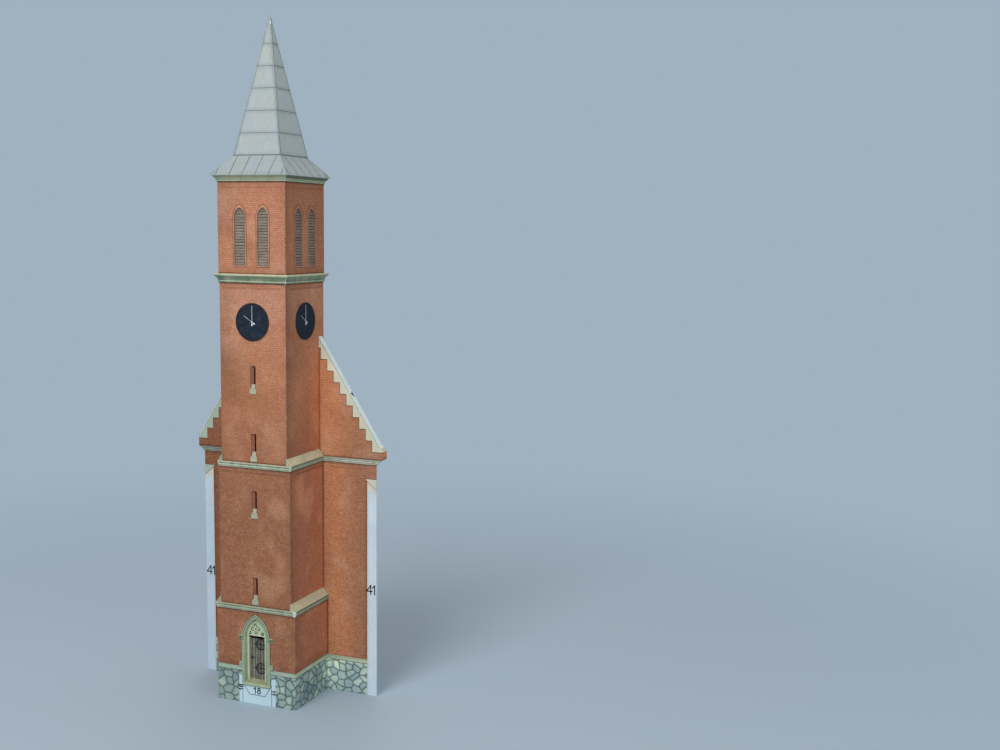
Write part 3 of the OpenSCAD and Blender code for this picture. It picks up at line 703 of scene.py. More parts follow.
# plain cards: colour, the colour of its clouds, and the roughness, sheen and grain if they differ
CARDS = {
    "seam": ((92, 104, 112), (112, 124, 130), 0.7, 0.2),
    "soft_seam": ((102, 114, 126), (116, 128, 138), 0.7, 0.2),
    "base_seam": ((70, 84, 98), (84, 98, 110), 0.7, 0.2),
    "hip": ((178, 190, 182), (158, 170, 166), 0.7, 0.25),
    "dark": ((104, 88, 78), (88, 74, 66)),
    "deep_red": ((120, 66, 54), (96, 54, 44)),
    "joint": ((58, 48, 44), (46, 38, 36)),
    "slit_lining": ((150, 96, 72), (136, 84, 64), 0.88, 0.18, 0.14),
    "iron": ((28, 32, 40), (40, 44, 50), 0.8, 0.2, 0.06),
    "hand": ((228, 232, 236), (214, 220, 226), 0.8, 0.2, 0.05),
    "ink": ((26, 27, 30), (40, 42, 46), 0.7, 0.25, 0.05),
    "curl": ((46, 58, 46), (34, 44, 36), 0.82, 0.2, 0.06),
    "green": ((132, 154, 130), (116, 138, 118)),
    "shade": ((96, 68, 54), (112, 80, 62), 0.88, 0.2),
    "line": ((78, 82, 70), (96, 98, 82), 0.85, 0.2),
    "reveal": ((194, 144, 118), (180, 130, 104), 0.88, 0.2, 0.12),
    "rim": ((132, 88, 68), (118, 78, 60), 0.88, 0.2, 0.12),
    "dentil": ((156, 102, 80), (168, 112, 88), 0.88, 0.2, 0.12),
    "dark_dentil": ((126, 82, 62), (140, 92, 70), 0.88, 0.2, 0.12),
    "step_line": ((88, 64, 50), (104, 76, 60), 0.88, 0.2, 0.12),
    "weather_end": ((186, 198, 170), (174, 186, 158), 0.86, 0.22, 0.1, (0.74, 0.78, 0.74)),
    "strip": ((218, 236, 236), (210, 228, 230), 0.88, 0.2, 0.06),
    # painted shade lines along the copings' folds and under the sills' blocks
    "crease": ((164, 168, 152), (176, 178, 162), 0.88, 0.2, 0.12),
}
MATS.update({key: plain_card(key + "_print", *card) for key, card in CARDS.items()})

NODE_MATS = {
    "brick": ["front_wall", "rear_wall", "belfry_front_wall", "belfry_rear_wall"]
    + [f"{storey}_{side}_wall" for storey in ("ground", "middle", "clock", "belfry")
       for side in ("left", "right")],
    "wing_brick": ["left_wing", "right_wing", "left_gable", "right_gable"],
    "cheek_brick": ["kneeler_cheeks"],
    "lower_string": ["lower_string_course"],
    "upper_string": ["upper_string_course"],
    "wing_string": ["left_wing_string", "right_wing_string"],
    "belfry_cornice": ["belfry_cornice"],
    "eaves_cornice": ["eaves_cornice"],
    "weathering": ["lower_weatherings", "upper_weatherings"],
    "cream": ["left_stepped_coping", "right_stepped_coping", "kneeler_gablets"],
    "sill_stone": ["slit_sills"],
    "sill": ["door_sill"],
    "portal": ["portal"],
    "tympanum": ["tympanum"],
    "zinc": ["roof_skirt", "spire"],
    "bare": ["base_card"],
    "strip": ["left_slope_strip", "right_slope_strip"],
    "dark": ["louvre_panels"],
    "slit": ["slit_boxes"],
    "plank": ["door"],
    "dial": ["clock_dials"],
    "hand": ["clock_hands"],
}
for key, names in NODE_MATS.items():
    for name in names:
        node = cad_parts[name]
        if node.data.materials:
            node.data.materials[0] = MATS[key]
        else:
            node.data.materials.append(MATS[key])


# ---- Mesh building, in millimetres ----

def turned(p, turn):
    c, s = ((1, 0), (0, 1), (-1, 0), (0, -1))[turn % 4]
    return (p[0] * c - p[1] * s, p[0] * s + p[1] * c, p[2])


def at(y, line):
    """A line in X and Z as points at depth y."""
    return [(x, y, z) for x, z in line]


BOTH_SIDES = (False, True)
# how far the plates of print reach into the wall behind them
SINK = 0.1


class Piece:
    """The mesh of one piece, in millimetres. What is added can be turned, mirrored and tinted."""

    def __init__(self, name, material, slot):
        self.name, self.material, self.slot = name, material, slot
        self.verts, self.faces, self.tints = [], [], []

    def add(self, verts, faces, turn=0, tint=0.5, flip=False):
        base = len(self.verts)
        for v in verts:
            v = turned(v, turn)
            self.verts.append((-v[0], v[1], v[2]) if flip else v)
        for f in faces:
            self.faces.append([base + i for i in (reversed(f) if flip else f)])
            self.tints.append(tint)

    def loft(self, sections, closed=False, **kw):
        """Sections are the paths of the profile's points, in order round the profile."""
        rows, n = len(sections), len(sections[0])
        faces = []
        for r in range(rows):
            q = (r + 1) % rows
            for i in range(n if closed else n - 1):
                j = (i + 1) % n
                faces.append((r * n + i, r * n + j, q * n + j, q * n + i))
        if not closed:
            faces += [tuple(r * n + i for r in range(rows)) for i in (0, n - 1)]
        self.add([p for section in sections for p in section], faces, **kw)

    def span(self, a, b, **kw):
        """A solid between two ends, whose corners are given in the same order."""
        self.loft(list(zip(a, b)), **kw)

    def prism(self, outline, y0, y1, **kw):
        """A flat outline in X and Z, from y0 to y1."""
        self.span(at(y0, outline), at(y1, outline), **kw)

    def box(self, a, b, **kw):
        (x0, y0, z0), (x1, y1, z1) = a, b
        self.prism([(x0, z0), (x1, z0), (x1, z1), (x0, z1)], y0, y1, **kw)

    def ribbon(self, a, b, y0, y1, **kw):
        """A strip between two outlines with as many points, from y0 to y1."""
        self.loft([at(y0, a), at(y1, a), at(y1, b), at(y0, b)], **kw)

    def tube(self, points, radius, sides=6, closed=False, **kw):
        pts = [Vector(p) for p in points]
        n = len(pts)
        rings = []
        for i, p in enumerate(pts):
            before = pts[(i - 1) % n] if closed or i else p
            after = pts[(i + 1) % n] if closed or i < n - 1 else p
            d = (after - before).normalized()
            side = d.cross(Vector((0, 1, 0)))
            if side.length < 0.2:
                side = d.cross(Vector((1, 0, 0)))
            side.normalize()
            up = side.cross(d)
            angles = [2 * math.pi * k / sides for k in range(sides)]
            rings.append([tuple(p + (side * math.cos(t) + up * math.sin(t)) * radius) for t in angles])
        self.loft(list(zip(*rings)), closed=closed, **kw)

    def rib(self, p0, p1, side, up, w0, h, w1=None, **kw):
        """A raised strip from p0 to p1, of widths w0 and w1 across and h high, sunk a little."""
        side, up = Vector(side).normalized(), Vector(up).normalized()
        w1 = w0 if w1 is None else w1
        ends = []
        for p, w in ((Vector(p0), w0), (Vector(p1), w1)):
            foot, edge = p - up * 0.1, p + up * h
            ends.append([tuple(v) for v in (foot - side * w / 2, foot + side * w / 2,
                                            edge + side * w * 0.32, edge - side * w * 0.32)])
        self.span(*ends, **kw)

    def make(self, *replaced, bevel=0.0, smooth=False):
        mesh = bpy.data.meshes.new(self.name)
        mesh.from_pydata([tuple(c * 0.001 for c in v) for v in self.verts], [], self.faces)
        work = bmesh.new()
        work.from_mesh(mesh)
        bmesh.ops.recalc_face_normals(work, faces=work.faces)
        work.to_mesh(mesh)
        work.free()
        tint = mesh.attributes.new("tint", "FLOAT", "FACE")
        tint.data.foreach_set("value", self.tints)
        mesh.materials.append(MATS[self.material])
        for polygon in mesh.polygons:
            polygon.use_smooth = smooth
        piece = bpy.data.objects.new(self.name, mesh)
        bpy.context.scene.collection.objects.link(piece)
        if bevel:
            mod = piece.modifiers.new("edges", "BEVEL")
            mod.width = bevel * 0.001
            mod.segments = 2
            mod.limit_method = "ANGLE"
            mod.angle_limit = math.radians(35)
        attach(piece, "root")
        if replaced:
            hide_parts(*replaced)


def arch(half, side, head, foot, cx=0.0, inset=0.0, n=8):
    """A pointed arch from its left foot over the tip to its right foot; inset moves it inwards."""
    radius = (head * head + half * half) / (2 * half)
    c = radius - half
    r = radius - inset
    top = math.sqrt(max(r * r - c * c, 0))
    tip = math.atan2(top, -c)
    left = [(cx + c + r * math.cos(a), foot + side + r * math.sin(a))
            for a in (math.pi + (tip - math.pi) * i / n for i in range(n + 1))]
    right = [(2 * cx - x, z) for x, z in reversed(left[:-1])]
    return [(left[0][0], foot)] + left + right + [(right[-1][0], foot)]


def head_only(*args):
    """The arch without its feet."""
    return arch(*args)[1:-1]


def ring(cx, cz, r, n=16, start=0.0, sweep=2 * math.pi):
    """Points in X and Z round a circle; a full turn leaves out the last point, which is the first."""
    count = n if sweep >= 2 * math.pi else n + 1
    angles = [start + sweep * i / n for i in range(count)]
    return [(cx + r * math.cos(a), cz + r * math.sin(a)) for a in angles]


def circle(cx, cz, r, y, *args):
    return at(y, ring(cx, cz, r, *args))


# ---- String courses, cornices and ledges ----

STRING_PROFILE = [(0.0, 0.0), (0.34, 0.0), (0.3, 0.1), (0.5, 0.14), (0.54, 0.34), (0.4, 0.4), (0.4, 0.52),
                  (0.68, 0.58), (0.76, 0.7), (0.74, 0.84), (0.62, 0.9), (0.62, 1.02), (0.92, 1.08),
                  (1.0, 1.2), (1.0, 1.7), (0.0, 1.7)]


def string_course(name, half, top, back):
    """A moulding round the front and the sides as far as back, and a bar along the rear wall."""
    piece = Piece(name + "_moulding", name, "moss_trim")
    sections, bars = [], []
    for r, dz in STRING_PROFILE:
        x, y, z = half + STRING_OUT * r, FRONT - STRING_RELIEF * r, top - STRING_H + dz
        if r == 0:
            x, y = half - 0.1, FRONT + 0.1
        sections.append([(-x, back, z), (-x, y, z), (x, y, z), (x, back, z)])
        y = REAR - 0.1 if r == 0 else REAR + STRING_RELIEF * r
        bars.append([(-half, y, z), (half, y, z)])
    piece.loft(sections)
    piece.loft(bars)
    piece.make(name + "_course")


string_course("lower_string", GROUND_HALF, MIDDLE_Z, WING_Y)
string_course("upper_string", MIDDLE_HALF, CLOCK_Z, GABLE_Y)

CORNICE_PROFILE = [(0.0, 0.0), (0.1, 0.0), (0.13, 0.06), (0.28, 0.1), (0.34, 0.16), (0.33, 0.23),
                   (0.24, 0.27), (0.25, 0.33), (0.3, 0.42), (0.4, 0.52), (0.53, 0.6), (0.68, 0.66),
                   (0.8, 0.69), (0.8, 0.74), (0.88, 0.76), (0.94, 0.8), (0.95, 0.84), (1.0, 0.85),
                   (1.0, 1.0), (0.0, 1.0)]


def cornice(node, half, foot, top):
    """A moulding on all four sides."""
    piece = Piece(node + "_moulding", node, "moss_trim")
    out = hi(node).x - half
    sections = []
    for r, up in CORNICE_PROFILE:
        x = half + out * r if r else half - 1.0
        z = foot + (top - foot) * up
        sections.append([(-x, -x, z), (x, -x, z), (x, x, z), (-x, x, z)])
    piece.loft(sections, closed=True)
    piece.make(node)


cornice("belfry_cornice", CLOCK_HALF, CORNICE_Z, BELFRY_Z)
cornice("eaves_cornice", BELFRY_HALF, EAVES_Z, SKIRT_Z)

# curved ends of the weatherings on the front, with a printed outline
ends = Piece("weathering_ends", "weather_end", "cream_trim")
end_lines = Piece("weathering_end_lines", "line", "cream_trim")
for upper, lower, z in ((MIDDLE_HALF, GROUND_HALF, MIDDLE_Z), (CLOCK_HALF, MIDDLE_HALF, CLOCK_Z)):
    run, rise = lower + STRING_OUT - upper, 2.1
    parts = [i / 8 for i in range(9)]
    curve = [(upper + run * t, z + rise * (1 - t) ** 2) for t in parts]
    outline = [(upper - 0.25, z + 0.02), (lower + STRING_OUT, z + 0.02)] + curve[::-1]
    outline.append((upper - 0.25, z + rise + 0.25))
    inner = [(upper + (run - 0.3) * t, z + 0.2 + (rise - 0.6) * (1 - t) ** 2.1) for t in parts]
    for flip in BOTH_SIDES:
        ends.prism(outline, FRONT - 0.14, FRONT + SINK, flip=flip)
        end_lines.tube(at(FRONT - 0.15, inner), 0.05, 4, flip=flip)
        x = upper - 0.2
        end_lines.tube(at(FRONT - 0.14, [(x, z + 0.1), (x, z + rise + 0.1)]), 0.05, 4, flip=flip)
for piece in (ends, end_lines):
    piece.make()

# mouldings under the gables, each band ending a little further in than the one over it
wing_bands = Piece("wing_string_bands", "wing_string", "moss_trim")
foot = CLOCK_Z - STRING_H
for z0, z1, out in ((0.14, 0.36, 0.1), (0.58, 0.86, 0.09), (1.08, 1.66, 0.07)):
    corners = [(z0, 0.02, 0.0), (z0, out, 0.06), (z1, out * 0.8, 0.0), (z1, -0.2, 0.0), (z0, -0.2, 0.0)]
    near, far = [], []
    for z, forward, up in corners:
        part = z / STRING_H
        y = WING_Y - (WING_Y - GABLE_Y) * part - forward
        near.append((MIDDLE_HALF + STRING_OUT, y, foot + z + up))
        far.append((WING_X + (KNEELER_X - WING_X) * part, y, foot + z + up))
    for flip in BOTH_SIDES:
        wing_bands.span(near, far, flip=flip)
wing_bands.make()


def dentil(piece, x, face, top, **kw):
    piece.box((x - DENTIL_HALF, face - 0.03, top - DENTIL_H), (x + DENTIL_HALF, face + SINK, top), **kw)


# rows of small printed dentils under the mouldings
upper_dentils = Piece("upper_dentil_rows", "dentil", "brick")
lower_dentils = Piece("lower_dentil_rows", "dark_dentil", "brick")
for half, top, y in ((MIDDLE_HALF, CLOCK_Z - STRING_H - 1.2, FRONT), (CLOCK_HALF, CORNICE_Z - 1.3, FRONT),
                     (BELFRY_HALF, EAVES_Z - 1.4, BELFRY_Y)):
    lower = half == MIDDLE_HALF
    dentils = lower_dentils if lower else upper_dentils
    # no lower row on the rear
    for turn in (0, 1, 3) if lower else range(4):
        side = lower and turn > 0
        face = -MIDDLE_HALF if side else y
        span = 17.0 if side else 2 * half - 2.0
        count = int(span / DENTIL_PITCH)
        for i in range(count):
            x = -span / 2 + (i + 0.5) * span / count
            dentil(dentils, x, face, top, turn=turn)
        dentils.box((-span / 2, face - 0.025, top), (span / 2, face + SINK, top + 0.08), turn=turn)
for flip in BOTH_SIDES:
    for i in range(24):
        x = GROUND_HALF + 1.6 + i * DENTIL_PITCH
        dentil(upper_dentils, x, WING_Y, CLOCK_Z - STRING_H - 1.2, flip=flip)
for piece in (lower_dentils, upper_dentils):
    piece.make()


# ---- Roof ----

seams = Piece("roof_seams", "seam", "zinc_sheet")
skirt_slope = (SKIRT_HALF - SPIRE_HALF) / (SPIRE_Z - SKIRT_Z)
spire_slope = SPIRE_HALF / (APEX_Z - SPIRE_Z)


def skirt_half(z):
    return SKIRT_HALF - (z - SKIRT_Z) * skirt_slope


def spire_half(z):
    return SPIRE_HALF - (z - SPIRE_Z) * (SPIRE_HALF - 0.2) / (APEX_Z - SPIRE_Z)


skirt_up = (0, -1, skirt_slope)
spire_up = (0, -1, spire_slope)
skirt_seams = Piece("skirt_seams", "soft_seam", "zinc_sheet")
base_seams = Piece("spire_foot_seams", "base_seam", "zinc_sheet")
for turn in range(4):
    for x in SKIRT_SEAMS:
        z1 = SPIRE_Z if abs(x) < SPIRE_HALF else SKIRT_Z + (SKIRT_HALF - abs(x)) / skirt_slope
        ends = [(x, -skirt_half(z), z) for z in (SKIRT_Z + 0.12, z1 - 0.2)]
        skirt_seams.rib(*ends, (1, 0, 0), skirt_up, 0.36, 0.05, turn=turn)
    # joints of the spire's sheets: a thin lap that follows each course
    for i in range(SHEET_ROWS):
        z = SPIRE_Z + 0.05 + (SHEET_TOP - SPIRE_Z) / SHEET_ROWS * i
        x = spire_half(z)
        lap, width, height = (base_seams, 0.36, 0.06) if i == 0 else (seams, 0.22, 0.03)
        ends = (0.05 - x, -x, z), (x - 0.05, -x, z)
        lap.rib(*ends, (0, spire_slope, 1), spire_up, width, height, turn=turn)
hips = Piece("roof_hips", "hip", "zinc_sheet")
for turn in range(4):
    tip = APEX_Z - 2.4
    corners = ((skirt_half(SKIRT_Z + 0.2), SKIRT_Z + 0.2), (SPIRE_HALF, SPIRE_Z), (spire_half(tip), tip))
    for (h0, z0), (h1, z1) in zip(corners, corners[1:]):
        hips.tube([(h0 - 0.03, -h0 + 0.03, z0), (h1 - 0.03, -h1 + 0.03, z1)], 0.08, 6, turn=turn)
        # a dark line beside the hip on each of its two faces
        slope = (h0 - h1) / (z1 - z0)
        on_front, on_side = ((1, 0, 0), (0, -1, slope)), ((0, 1, 0), (1, 0, slope))
        seams.rib((h0 - 0.28, -h0, z0), (h1 - 0.2, -h1, z1), *on_front, 0.08, 0.02, 0.06, turn=turn)
        seams.rib((h0, -h0 + 0.28, z0), (h1, -h1 + 0.2, z1), *on_side, 0.12, 0.02, 0.08, turn=turn)
    # the hip's sheet spreads into a small triangle at the eaves
    z0, z1 = SKIRT_Z + 2.2, SKIRT_Z + 0.14
    h0, h1 = skirt_half(z0), skirt_half(z1)
    on_front, on_side = ((1, 0, 0), skirt_up), ((0, 1, 0), (1, 0, skirt_slope))
    seams.rib((h0 - 0.25, -h0, z0), (h1 - 1.5, -h1, z1), *on_front, 0.13, 0.04, turn=turn)
    seams.rib((h0, -h0 + 0.25, z0), (h1, -h1 + 1.5, z1), *on_side, 0.13, 0.04, turn=turn)
for piece in (seams, skirt_seams, base_seams):
    piece.make()
hips.make(smooth=True)


# ---- Belfry openings ----

slats = Piece("louvre_boards", "slat", "grey_timber")
linings = Piece("louvre_linings", "reveal", "brick")
rims = Piece("louvre_rims", "rim", "brick")
heads = Piece("louvre_heads", "dark", "dark_reveal")
arches = Piece("louvre_arches", "voussoir", "brick")
opening = (LOUVRE_HALF, LOUVRE_SIDE, LOUVRE_HEAD, LOUVRE_Z)
BOARD = [(0.14, 0.0), (0.12, 0.46), (0.36, 0.72), (0.4, 0.6)]
radius = (LOUVRE_HEAD ** 2 + LOUVRE_HALF ** 2) / (2 * LOUVRE_HALF)
for turn in range(4):
    for side in (-1, 1):
        cx = side * LOUVRE_X
        edges = []
        for inset in (-0.32, -0.1, 0.19, 0.36):
            head = LOUVRE_HEAD + (0.5 if inset < 0 else 0.0)
            line = arch(LOUVRE_HALF, LOUVRE_SIDE, head, LOUVRE_Z, cx, inset)
            line[0], line[-1] = (line[0][0], LOUVRE_Z + inset), (line[-1][0], LOUVRE_Z + inset)
            edges.append(line)
        rims.ribbon(edges[0], edges[1], BELFRY_Y - 0.035, BELFRY_Y + SINK, closed=True, turn=turn)
        linings.ribbon(edges[1], edges[2], BELFRY_Y - 0.04, BELFRY_Y + 0.79, closed=True, turn=turn)
        # painted shade: a dark ring inside each opening and a dark plate in its pointed head
        heads.ribbon(edges[2], edges[3], BELFRY_Y + 0.05, BELFRY_Y + 0.7, closed=True, turn=turn)
        shade = [p for p in head_only(*opening, cx, 0.34) if p[1] > LOUVRE_Z + LOUVRE_SIDE + 1.6]
        heads.prism(shade, BELFRY_Y + 0.12, BELFRY_Y + 0.7, turn=turn)
        z = LOUVRE_Z + 0.38
        while z < LOUVRE_Z + LOUVRE_SIDE + LOUVRE_HEAD - 1.3:
            # the boards grow shorter in the pointed head
            over = max(z + 0.45 - LOUVRE_Z - LOUVRE_SIDE, 0)
            half = math.sqrt(radius ** 2 - over ** 2) - (radius - LOUVRE_HALF) - 0.35
            jog = random.uniform(-0.02, 0.02)
            board = [[(x, BELFRY_Y + y, z + dz + jog) for y, dz in BOARD] for x in (cx - half, cx + half)]
            slats.span(*board, turn=turn, tint=random.random())
            z += BOARD_PITCH
        # faint pointed arch of bricks on end over each opening
        a, b = head_only(*opening, cx, -0.3, 12), head_only(*opening, cx, -1.4, 12)
        for i in range(len(a) - 1):
            near, far = [], []
            for line, ends in ((a, near), (b, far)):
                p, q = Vector(line[i]), Vector(line[i + 1])
                gap = (q - p) * 0.1
                ends += [tuple(p + gap), tuple(q - gap)]
            quad = near + far[::-1]
            arches.prism(quad, BELFRY_Y - 0.025, BELFRY_Y + SINK, turn=turn, tint=random.random())
for piece in (slats, linings, rims, heads, arches):
    piece.make()


# ---- Clock ----

hands = Piece("clock_hand_shapes", "hand", "white_card")
rim = Piece("clock_rims", "ink", "navy_dial")


def hand(angle, reach, tail, width, lift, turn):
    """A long blade over the middle of the dial and a short tail under it."""
    c, s = math.cos(math.radians(angle)), math.sin(math.radians(angle))
    half = width / 2
    blade = [(-half, -0.3), (-half, reach - 0.1), (0, reach), (half, reach - 0.1), (half, -0.3)]
    back = [(-0.05, -0.2), (0.05, -0.2), (0.28, 0.35 - tail), (0, -tail), (-0.28, 0.35 - tail)]
    for outline in (blade, back):
        turned_round = [(x * c - z * s, DIAL_Z + x * s + z * c) for x, z in outline]
        hands.prism(turned_round, DIAL_Y - lift, DIAL_Y + 0.05, turn=turn)


for turn in range(4):
    hand(0, 4.95, 1.25, 0.1, 0.05, turn)
    hand(57, 3.35, 1.2, 0.08, 0.04, turn)
    hands.prism(ring(0, DIAL_Z, 0.22), DIAL_Y - 0.1, DIAL_Y + 0.05, turn=turn)
    outer, inner = ring(0, DIAL_Z, 5.65, 64), ring(0, DIAL_Z, 5.35, 64)
    rim.ribbon(outer, inner, DIAL_Y - 0.04, DIAL_Y + SINK, closed=True, turn=turn)
hands.make("clock_hands")
rim.make()


# ---- Slit windows ----

slit_lines = Piece("slit_lines", "deep_red", "dark_reveal")
linings = Piece("slit_linings", "slit_lining", "brick")
blocks = Piece("sill_blocks", "sill_stone", "cream_trim")
stone_rims = Piece("sill_stone_rims", "sill_stone", "cream_trim")
stones = Piece("sill_stone_lines", "crease", "cream_trim")
w = SLIT_HALF
for z in SLIT_FEET:
    top = z + 1.4
    # painted shade under the head of each slit, and dark lines down its sides
    slit_lines.box((-w - 0.04, FRONT - 0.015, top + 6.96), (w + 0.04, FRONT + 0.3, top + 7.06))
    for x in (-w - 0.06, w):
        slit_lines.box((x, FRONT - 0.01, top + 0.2), (x + 0.06, FRONT + SINK, top + 7.02))
    # splayed lining of the left jamb, and the small block on the sill
    plan = [(-w + 0.06, FRONT + 0.06), (-w + 0.84, FRONT + 0.5), (-w - 0.1, FRONT + 0.5)]
    linings.span(*([(x, y, height) for x, y in plan] for height in (top + 0.3, top + 6.98)))
    side = [(-0.1, 0.1), (0.05, 1.5), (0.4, 1.6), (0.4, 0.1)]
    blocks.span(*([(x, FRONT + y, top + up) for y, up in side] for x in (-w + 0.24, w - 0.12)))
    # a painted shadow line at the foot of the small block
    stones.box((-w + 0.2, FRONT - 0.11, top + 0.16), (w - 0.3, FRONT + SINK, top + 0.36))
    # raised border of the sill stone, and a painted shadow line at the foot of the slanting sill
    borders = []
    for x, z0, z1 in ((w + 0.27, z + 0.02, z + 1.56), (w, z + 0.28, z + 1.3)):
        borders.append([(-x, z0), (x, z0), (x, z1), (-x, z1)])
    stone_rims.ribbon(*borders, FRONT - 0.24, FRONT - 0.15, closed=True)
    stones.box((-w + 0.05, FRONT - 0.25, z + 1.48), (w - 0.05, FRONT - 0.1, z + 1.58))
for piece in (slit_lines, linings, blocks):
    piece.make()
stone_rims.make(bevel=0.03)
stones.make()


# ---- Portal and door ----

portal_arch = (PORTAL_HALF, PORTAL_SPRING - PORTAL_FOOT, PORTAL_RISE, PORTAL_FOOT)
rolls = Piece("portal_rolls", "portal", "moss_trim")
grooves = Piece("portal_lines", "line", "moss_trim")
greens = Piece("portal_hollows", "green", "moss_trim")
shades = Piece("portal_shades", "shade", "brick")
dots = Piece("stop_dots", "curl", "dark_reveal")


def from_height(line, z):
    """The part of an arch line above height z."""
    return [(line[0][0], z)] + line[1:-1] + [(line[-1][0], z)]


def portal_line(inset, foot):
    """The portal's arch moved inwards, from height foot on."""
    return from_height(arch(*portal_arch, 0, inset, 14), foot)


stop_z = PORTAL_SPRING - 0.8
inner_y = PORTAL_Y + 0.7
inner_foot = DOOR_FOOT + 0.5
for inset, y, r, foot in ((0.22, PORTAL_Y - 0.02, 0.15, stop_z), (1.02, PORTAL_Y + 0.03, 0.11, DOOR_FOOT),
                          (1.42, inner_y, 0.12, inner_foot)):
    rolls.tube(at(y, portal_line(inset, foot)), r, 8)
for piece, inset, y, w, foot in (
        (shades, -0.22, FRONT, 0.26, stop_z), (grooves, 0.36, PORTAL_Y, 0.14, stop_z),
        (greens, 0.5, PORTAL_Y, 0.1, stop_z), (greens, 0.94, PORTAL_Y, 0.1, DOOR_FOOT),
        (greens, 1.28, inner_y, 0.12, inner_foot), (greens, 1.6, inner_y, 0.08, inner_foot)):
    piece.ribbon(portal_line(inset, foot), portal_line(inset + w, foot), y - 0.025, y + 0.05)
for flip in BOTH_SIDES:
    # scrolled stops under the hood and blocks at the foot of the jambs
    half = PORTAL_HALF
    rolls.box((half - 0.1, PORTAL_Y - 0.1, stop_z + 1.24), (half + 1.02, FRONT, stop_z + 1.5), flip=flip)
    rolls.tube(circle(half + 0.52, stop_z + 0.5, 0.34, PORTAL_Y - 0.02), 0.12, 6, closed=True, flip=flip)
    dots.prism(ring(half + 0.46, stop_z + 0.72, 0.42, 12), PORTAL_Y - 0.12, PORTAL_Y + SINK, flip=flip)
    for z0 in (stop_z, PLINTH_Z):
        z1 = z0 + 1.6
        shades.box((half, FRONT - 0.03, z0 - 0.2), (half + 1.14, FRONT + SINK, z0), flip=flip)
        shades.box((half + 1.04, FRONT - 0.03, z0 - 0.1), (half + 1.2, FRONT + SINK, z1), flip=flip)
    shades.box((half, FRONT - 0.03, PLINTH_Z + 1.6), (half + 0.2, FRONT + SINK, stop_z), flip=flip)
rolls.make(smooth=True)
for piece in (greens, shades, dots):
    piece.make()

# raised panel of the tympanum with open curls, and the shoulders beside the lintel
panel = Piece("tympanum_panel", "tympanum", "cream_trim")
panel_y = DOOR_Y - 0.45
lintel = LINTEL_Z + 0.36
panel.prism(portal_line(2.14, lintel), panel_y, DOOR_Y + 0.05)
panel.make()
rings = Piece("tympanum_rings", "curl", "dark_reveal")
ring_y = panel_y - 0.02
curl_x, curl_z = -0.45, 23.6
for k in range(4):
    a = math.pi / 2 * k
    dx, dz = math.cos(a), math.sin(a)
    x, z = curl_x + dx * 0.98 - dz * 0.1, curl_z + dz * 0.98 + dx * 0.1
    rings.tube(circle(x, z, 0.44, ring_y, 14, a - 2.3, 4.6), 0.12, 5)
rings.tube(circle(curl_x, curl_z, 0.2, ring_y, 10), 0.1, 5, closed=True)
for x in (-2.45, 1.92):
    rings.tube(circle(x, curl_z - 1.3, 0.38, ring_y, 14), 0.14, 5, closed=True)
# a painted shadow line under the tympanum, along the lintel
rings.box((-2.74, panel_y, lintel - 0.12), (2.74, DOOR_Y + SINK, lintel + 0.02))
rings.make(smooth=True)
shoulders = Piece("lintel_shoulders", "tympanum", "cream_trim")
for flip in BOTH_SIDES:
    x, z = 2.83, lintel - 0.05
    arc = [(x - 0.6 * math.cos(t), z - 0.8 * math.sin(t)) for t in (math.pi / 12 * i for i in range(7))]
    shoulders.prism([(x, z)] + arc, panel_y, DOOR_Y + 0.05, flip=flip)
shoulders.make()
grooves.make()

planks = Piece("door_planks", "plank", "grey_timber")
plank_lines = Piece("door_gaps", "joint", "dark_reveal")
door_half, count = 2.8, 6
plank_lines.box((-door_half, DOOR_Y - 0.04, DOOR_FOOT), (door_half, DOOR_Y + SINK, lintel))
for i in range(count):
    a, b = (door_half * (2 * k / count - 1) for k in (i, i + 1))
    planks.box((a + 0.1, DOOR_Y - 0.1, DOOR_FOOT + 0.9), (b - 0.1, DOOR_Y + 0.05, lintel - 0.04),
               tint=random.random())
planks.make(bevel=0.03)
plank_lines.make()

iron = Piece("door_ironwork", "iron", "dark_reveal")
iron_y = DOOR_Y - 0.14
cx = 1.1
# the two hinges: a ring with four arms and their pointed ends
for cz in (18.8, 11.2):
    iron.tube(circle(cx, cz, 1.6, iron_y, 28), 0.17, 5, closed=True)
    for dx, dz, out in ((1, 0, 1.5), (-1, 0, 2.35), (0, 1, 1.95), (0, -1, 1.95)):
        hub, tip = (cx, iron_y + 0.02, cz), (cx + dx * out, iron_y + 0.02, cz + dz * out)
        iron.rib(hub, tip, (dz, 0, dx), (0, -1, 0), 0.34, 0.08, 0.26)
        x, z = cx + dx * out * 0.8, cz + dz * out * 0.8
        point = [(x + 0.38, z), (x, z + 0.38), (x - 0.38, z), (x, z - 0.38)]
        iron.prism(point, iron_y - 0.07, iron_y + 0.06)
    # curls between the arms
    for k in range(4):
        a = math.pi / 4 + k * math.pi / 2
        x, z = cx + 1.02 * math.cos(a), cz + 1.02 * math.sin(a)
        iron.tube(circle(x, z, 0.24, iron_y, 12, a + 0.8, 4.7), 0.055, 4)
# the lock's plate and its handle
lock_x, lock_z = -2.0, 14.35
plate = [(-0.25, -0.45), (0.25, -0.45), (0.35, 0.0), (0.25, 0.45), (-0.25, 0.45), (-0.35, 0.0)]
iron.prism([(lock_x + x, lock_z + z) for x, z in plate], iron_y - 0.05, iron_y + 0.06)
grip = lock_z + 0.15
iron.tube([(lock_x + 0.1, iron_y - 0.07, grip), (lock_x + 0.75, iron_y - 0.1, grip)], 0.12, 6)
iron.make()

sill_lines = Piece("door_sill_lines", "line", "cream_trim")
sill_lines.box((-PORTAL_HALF, PORTAL_Y - 0.02, PORTAL_FOOT - 0.05),
               (PORTAL_HALF, PORTAL_Y + SINK, PORTAL_FOOT + 0.05))
sill_lines.make()


# ---- Bare gluing areas with plain assembly numbers ----

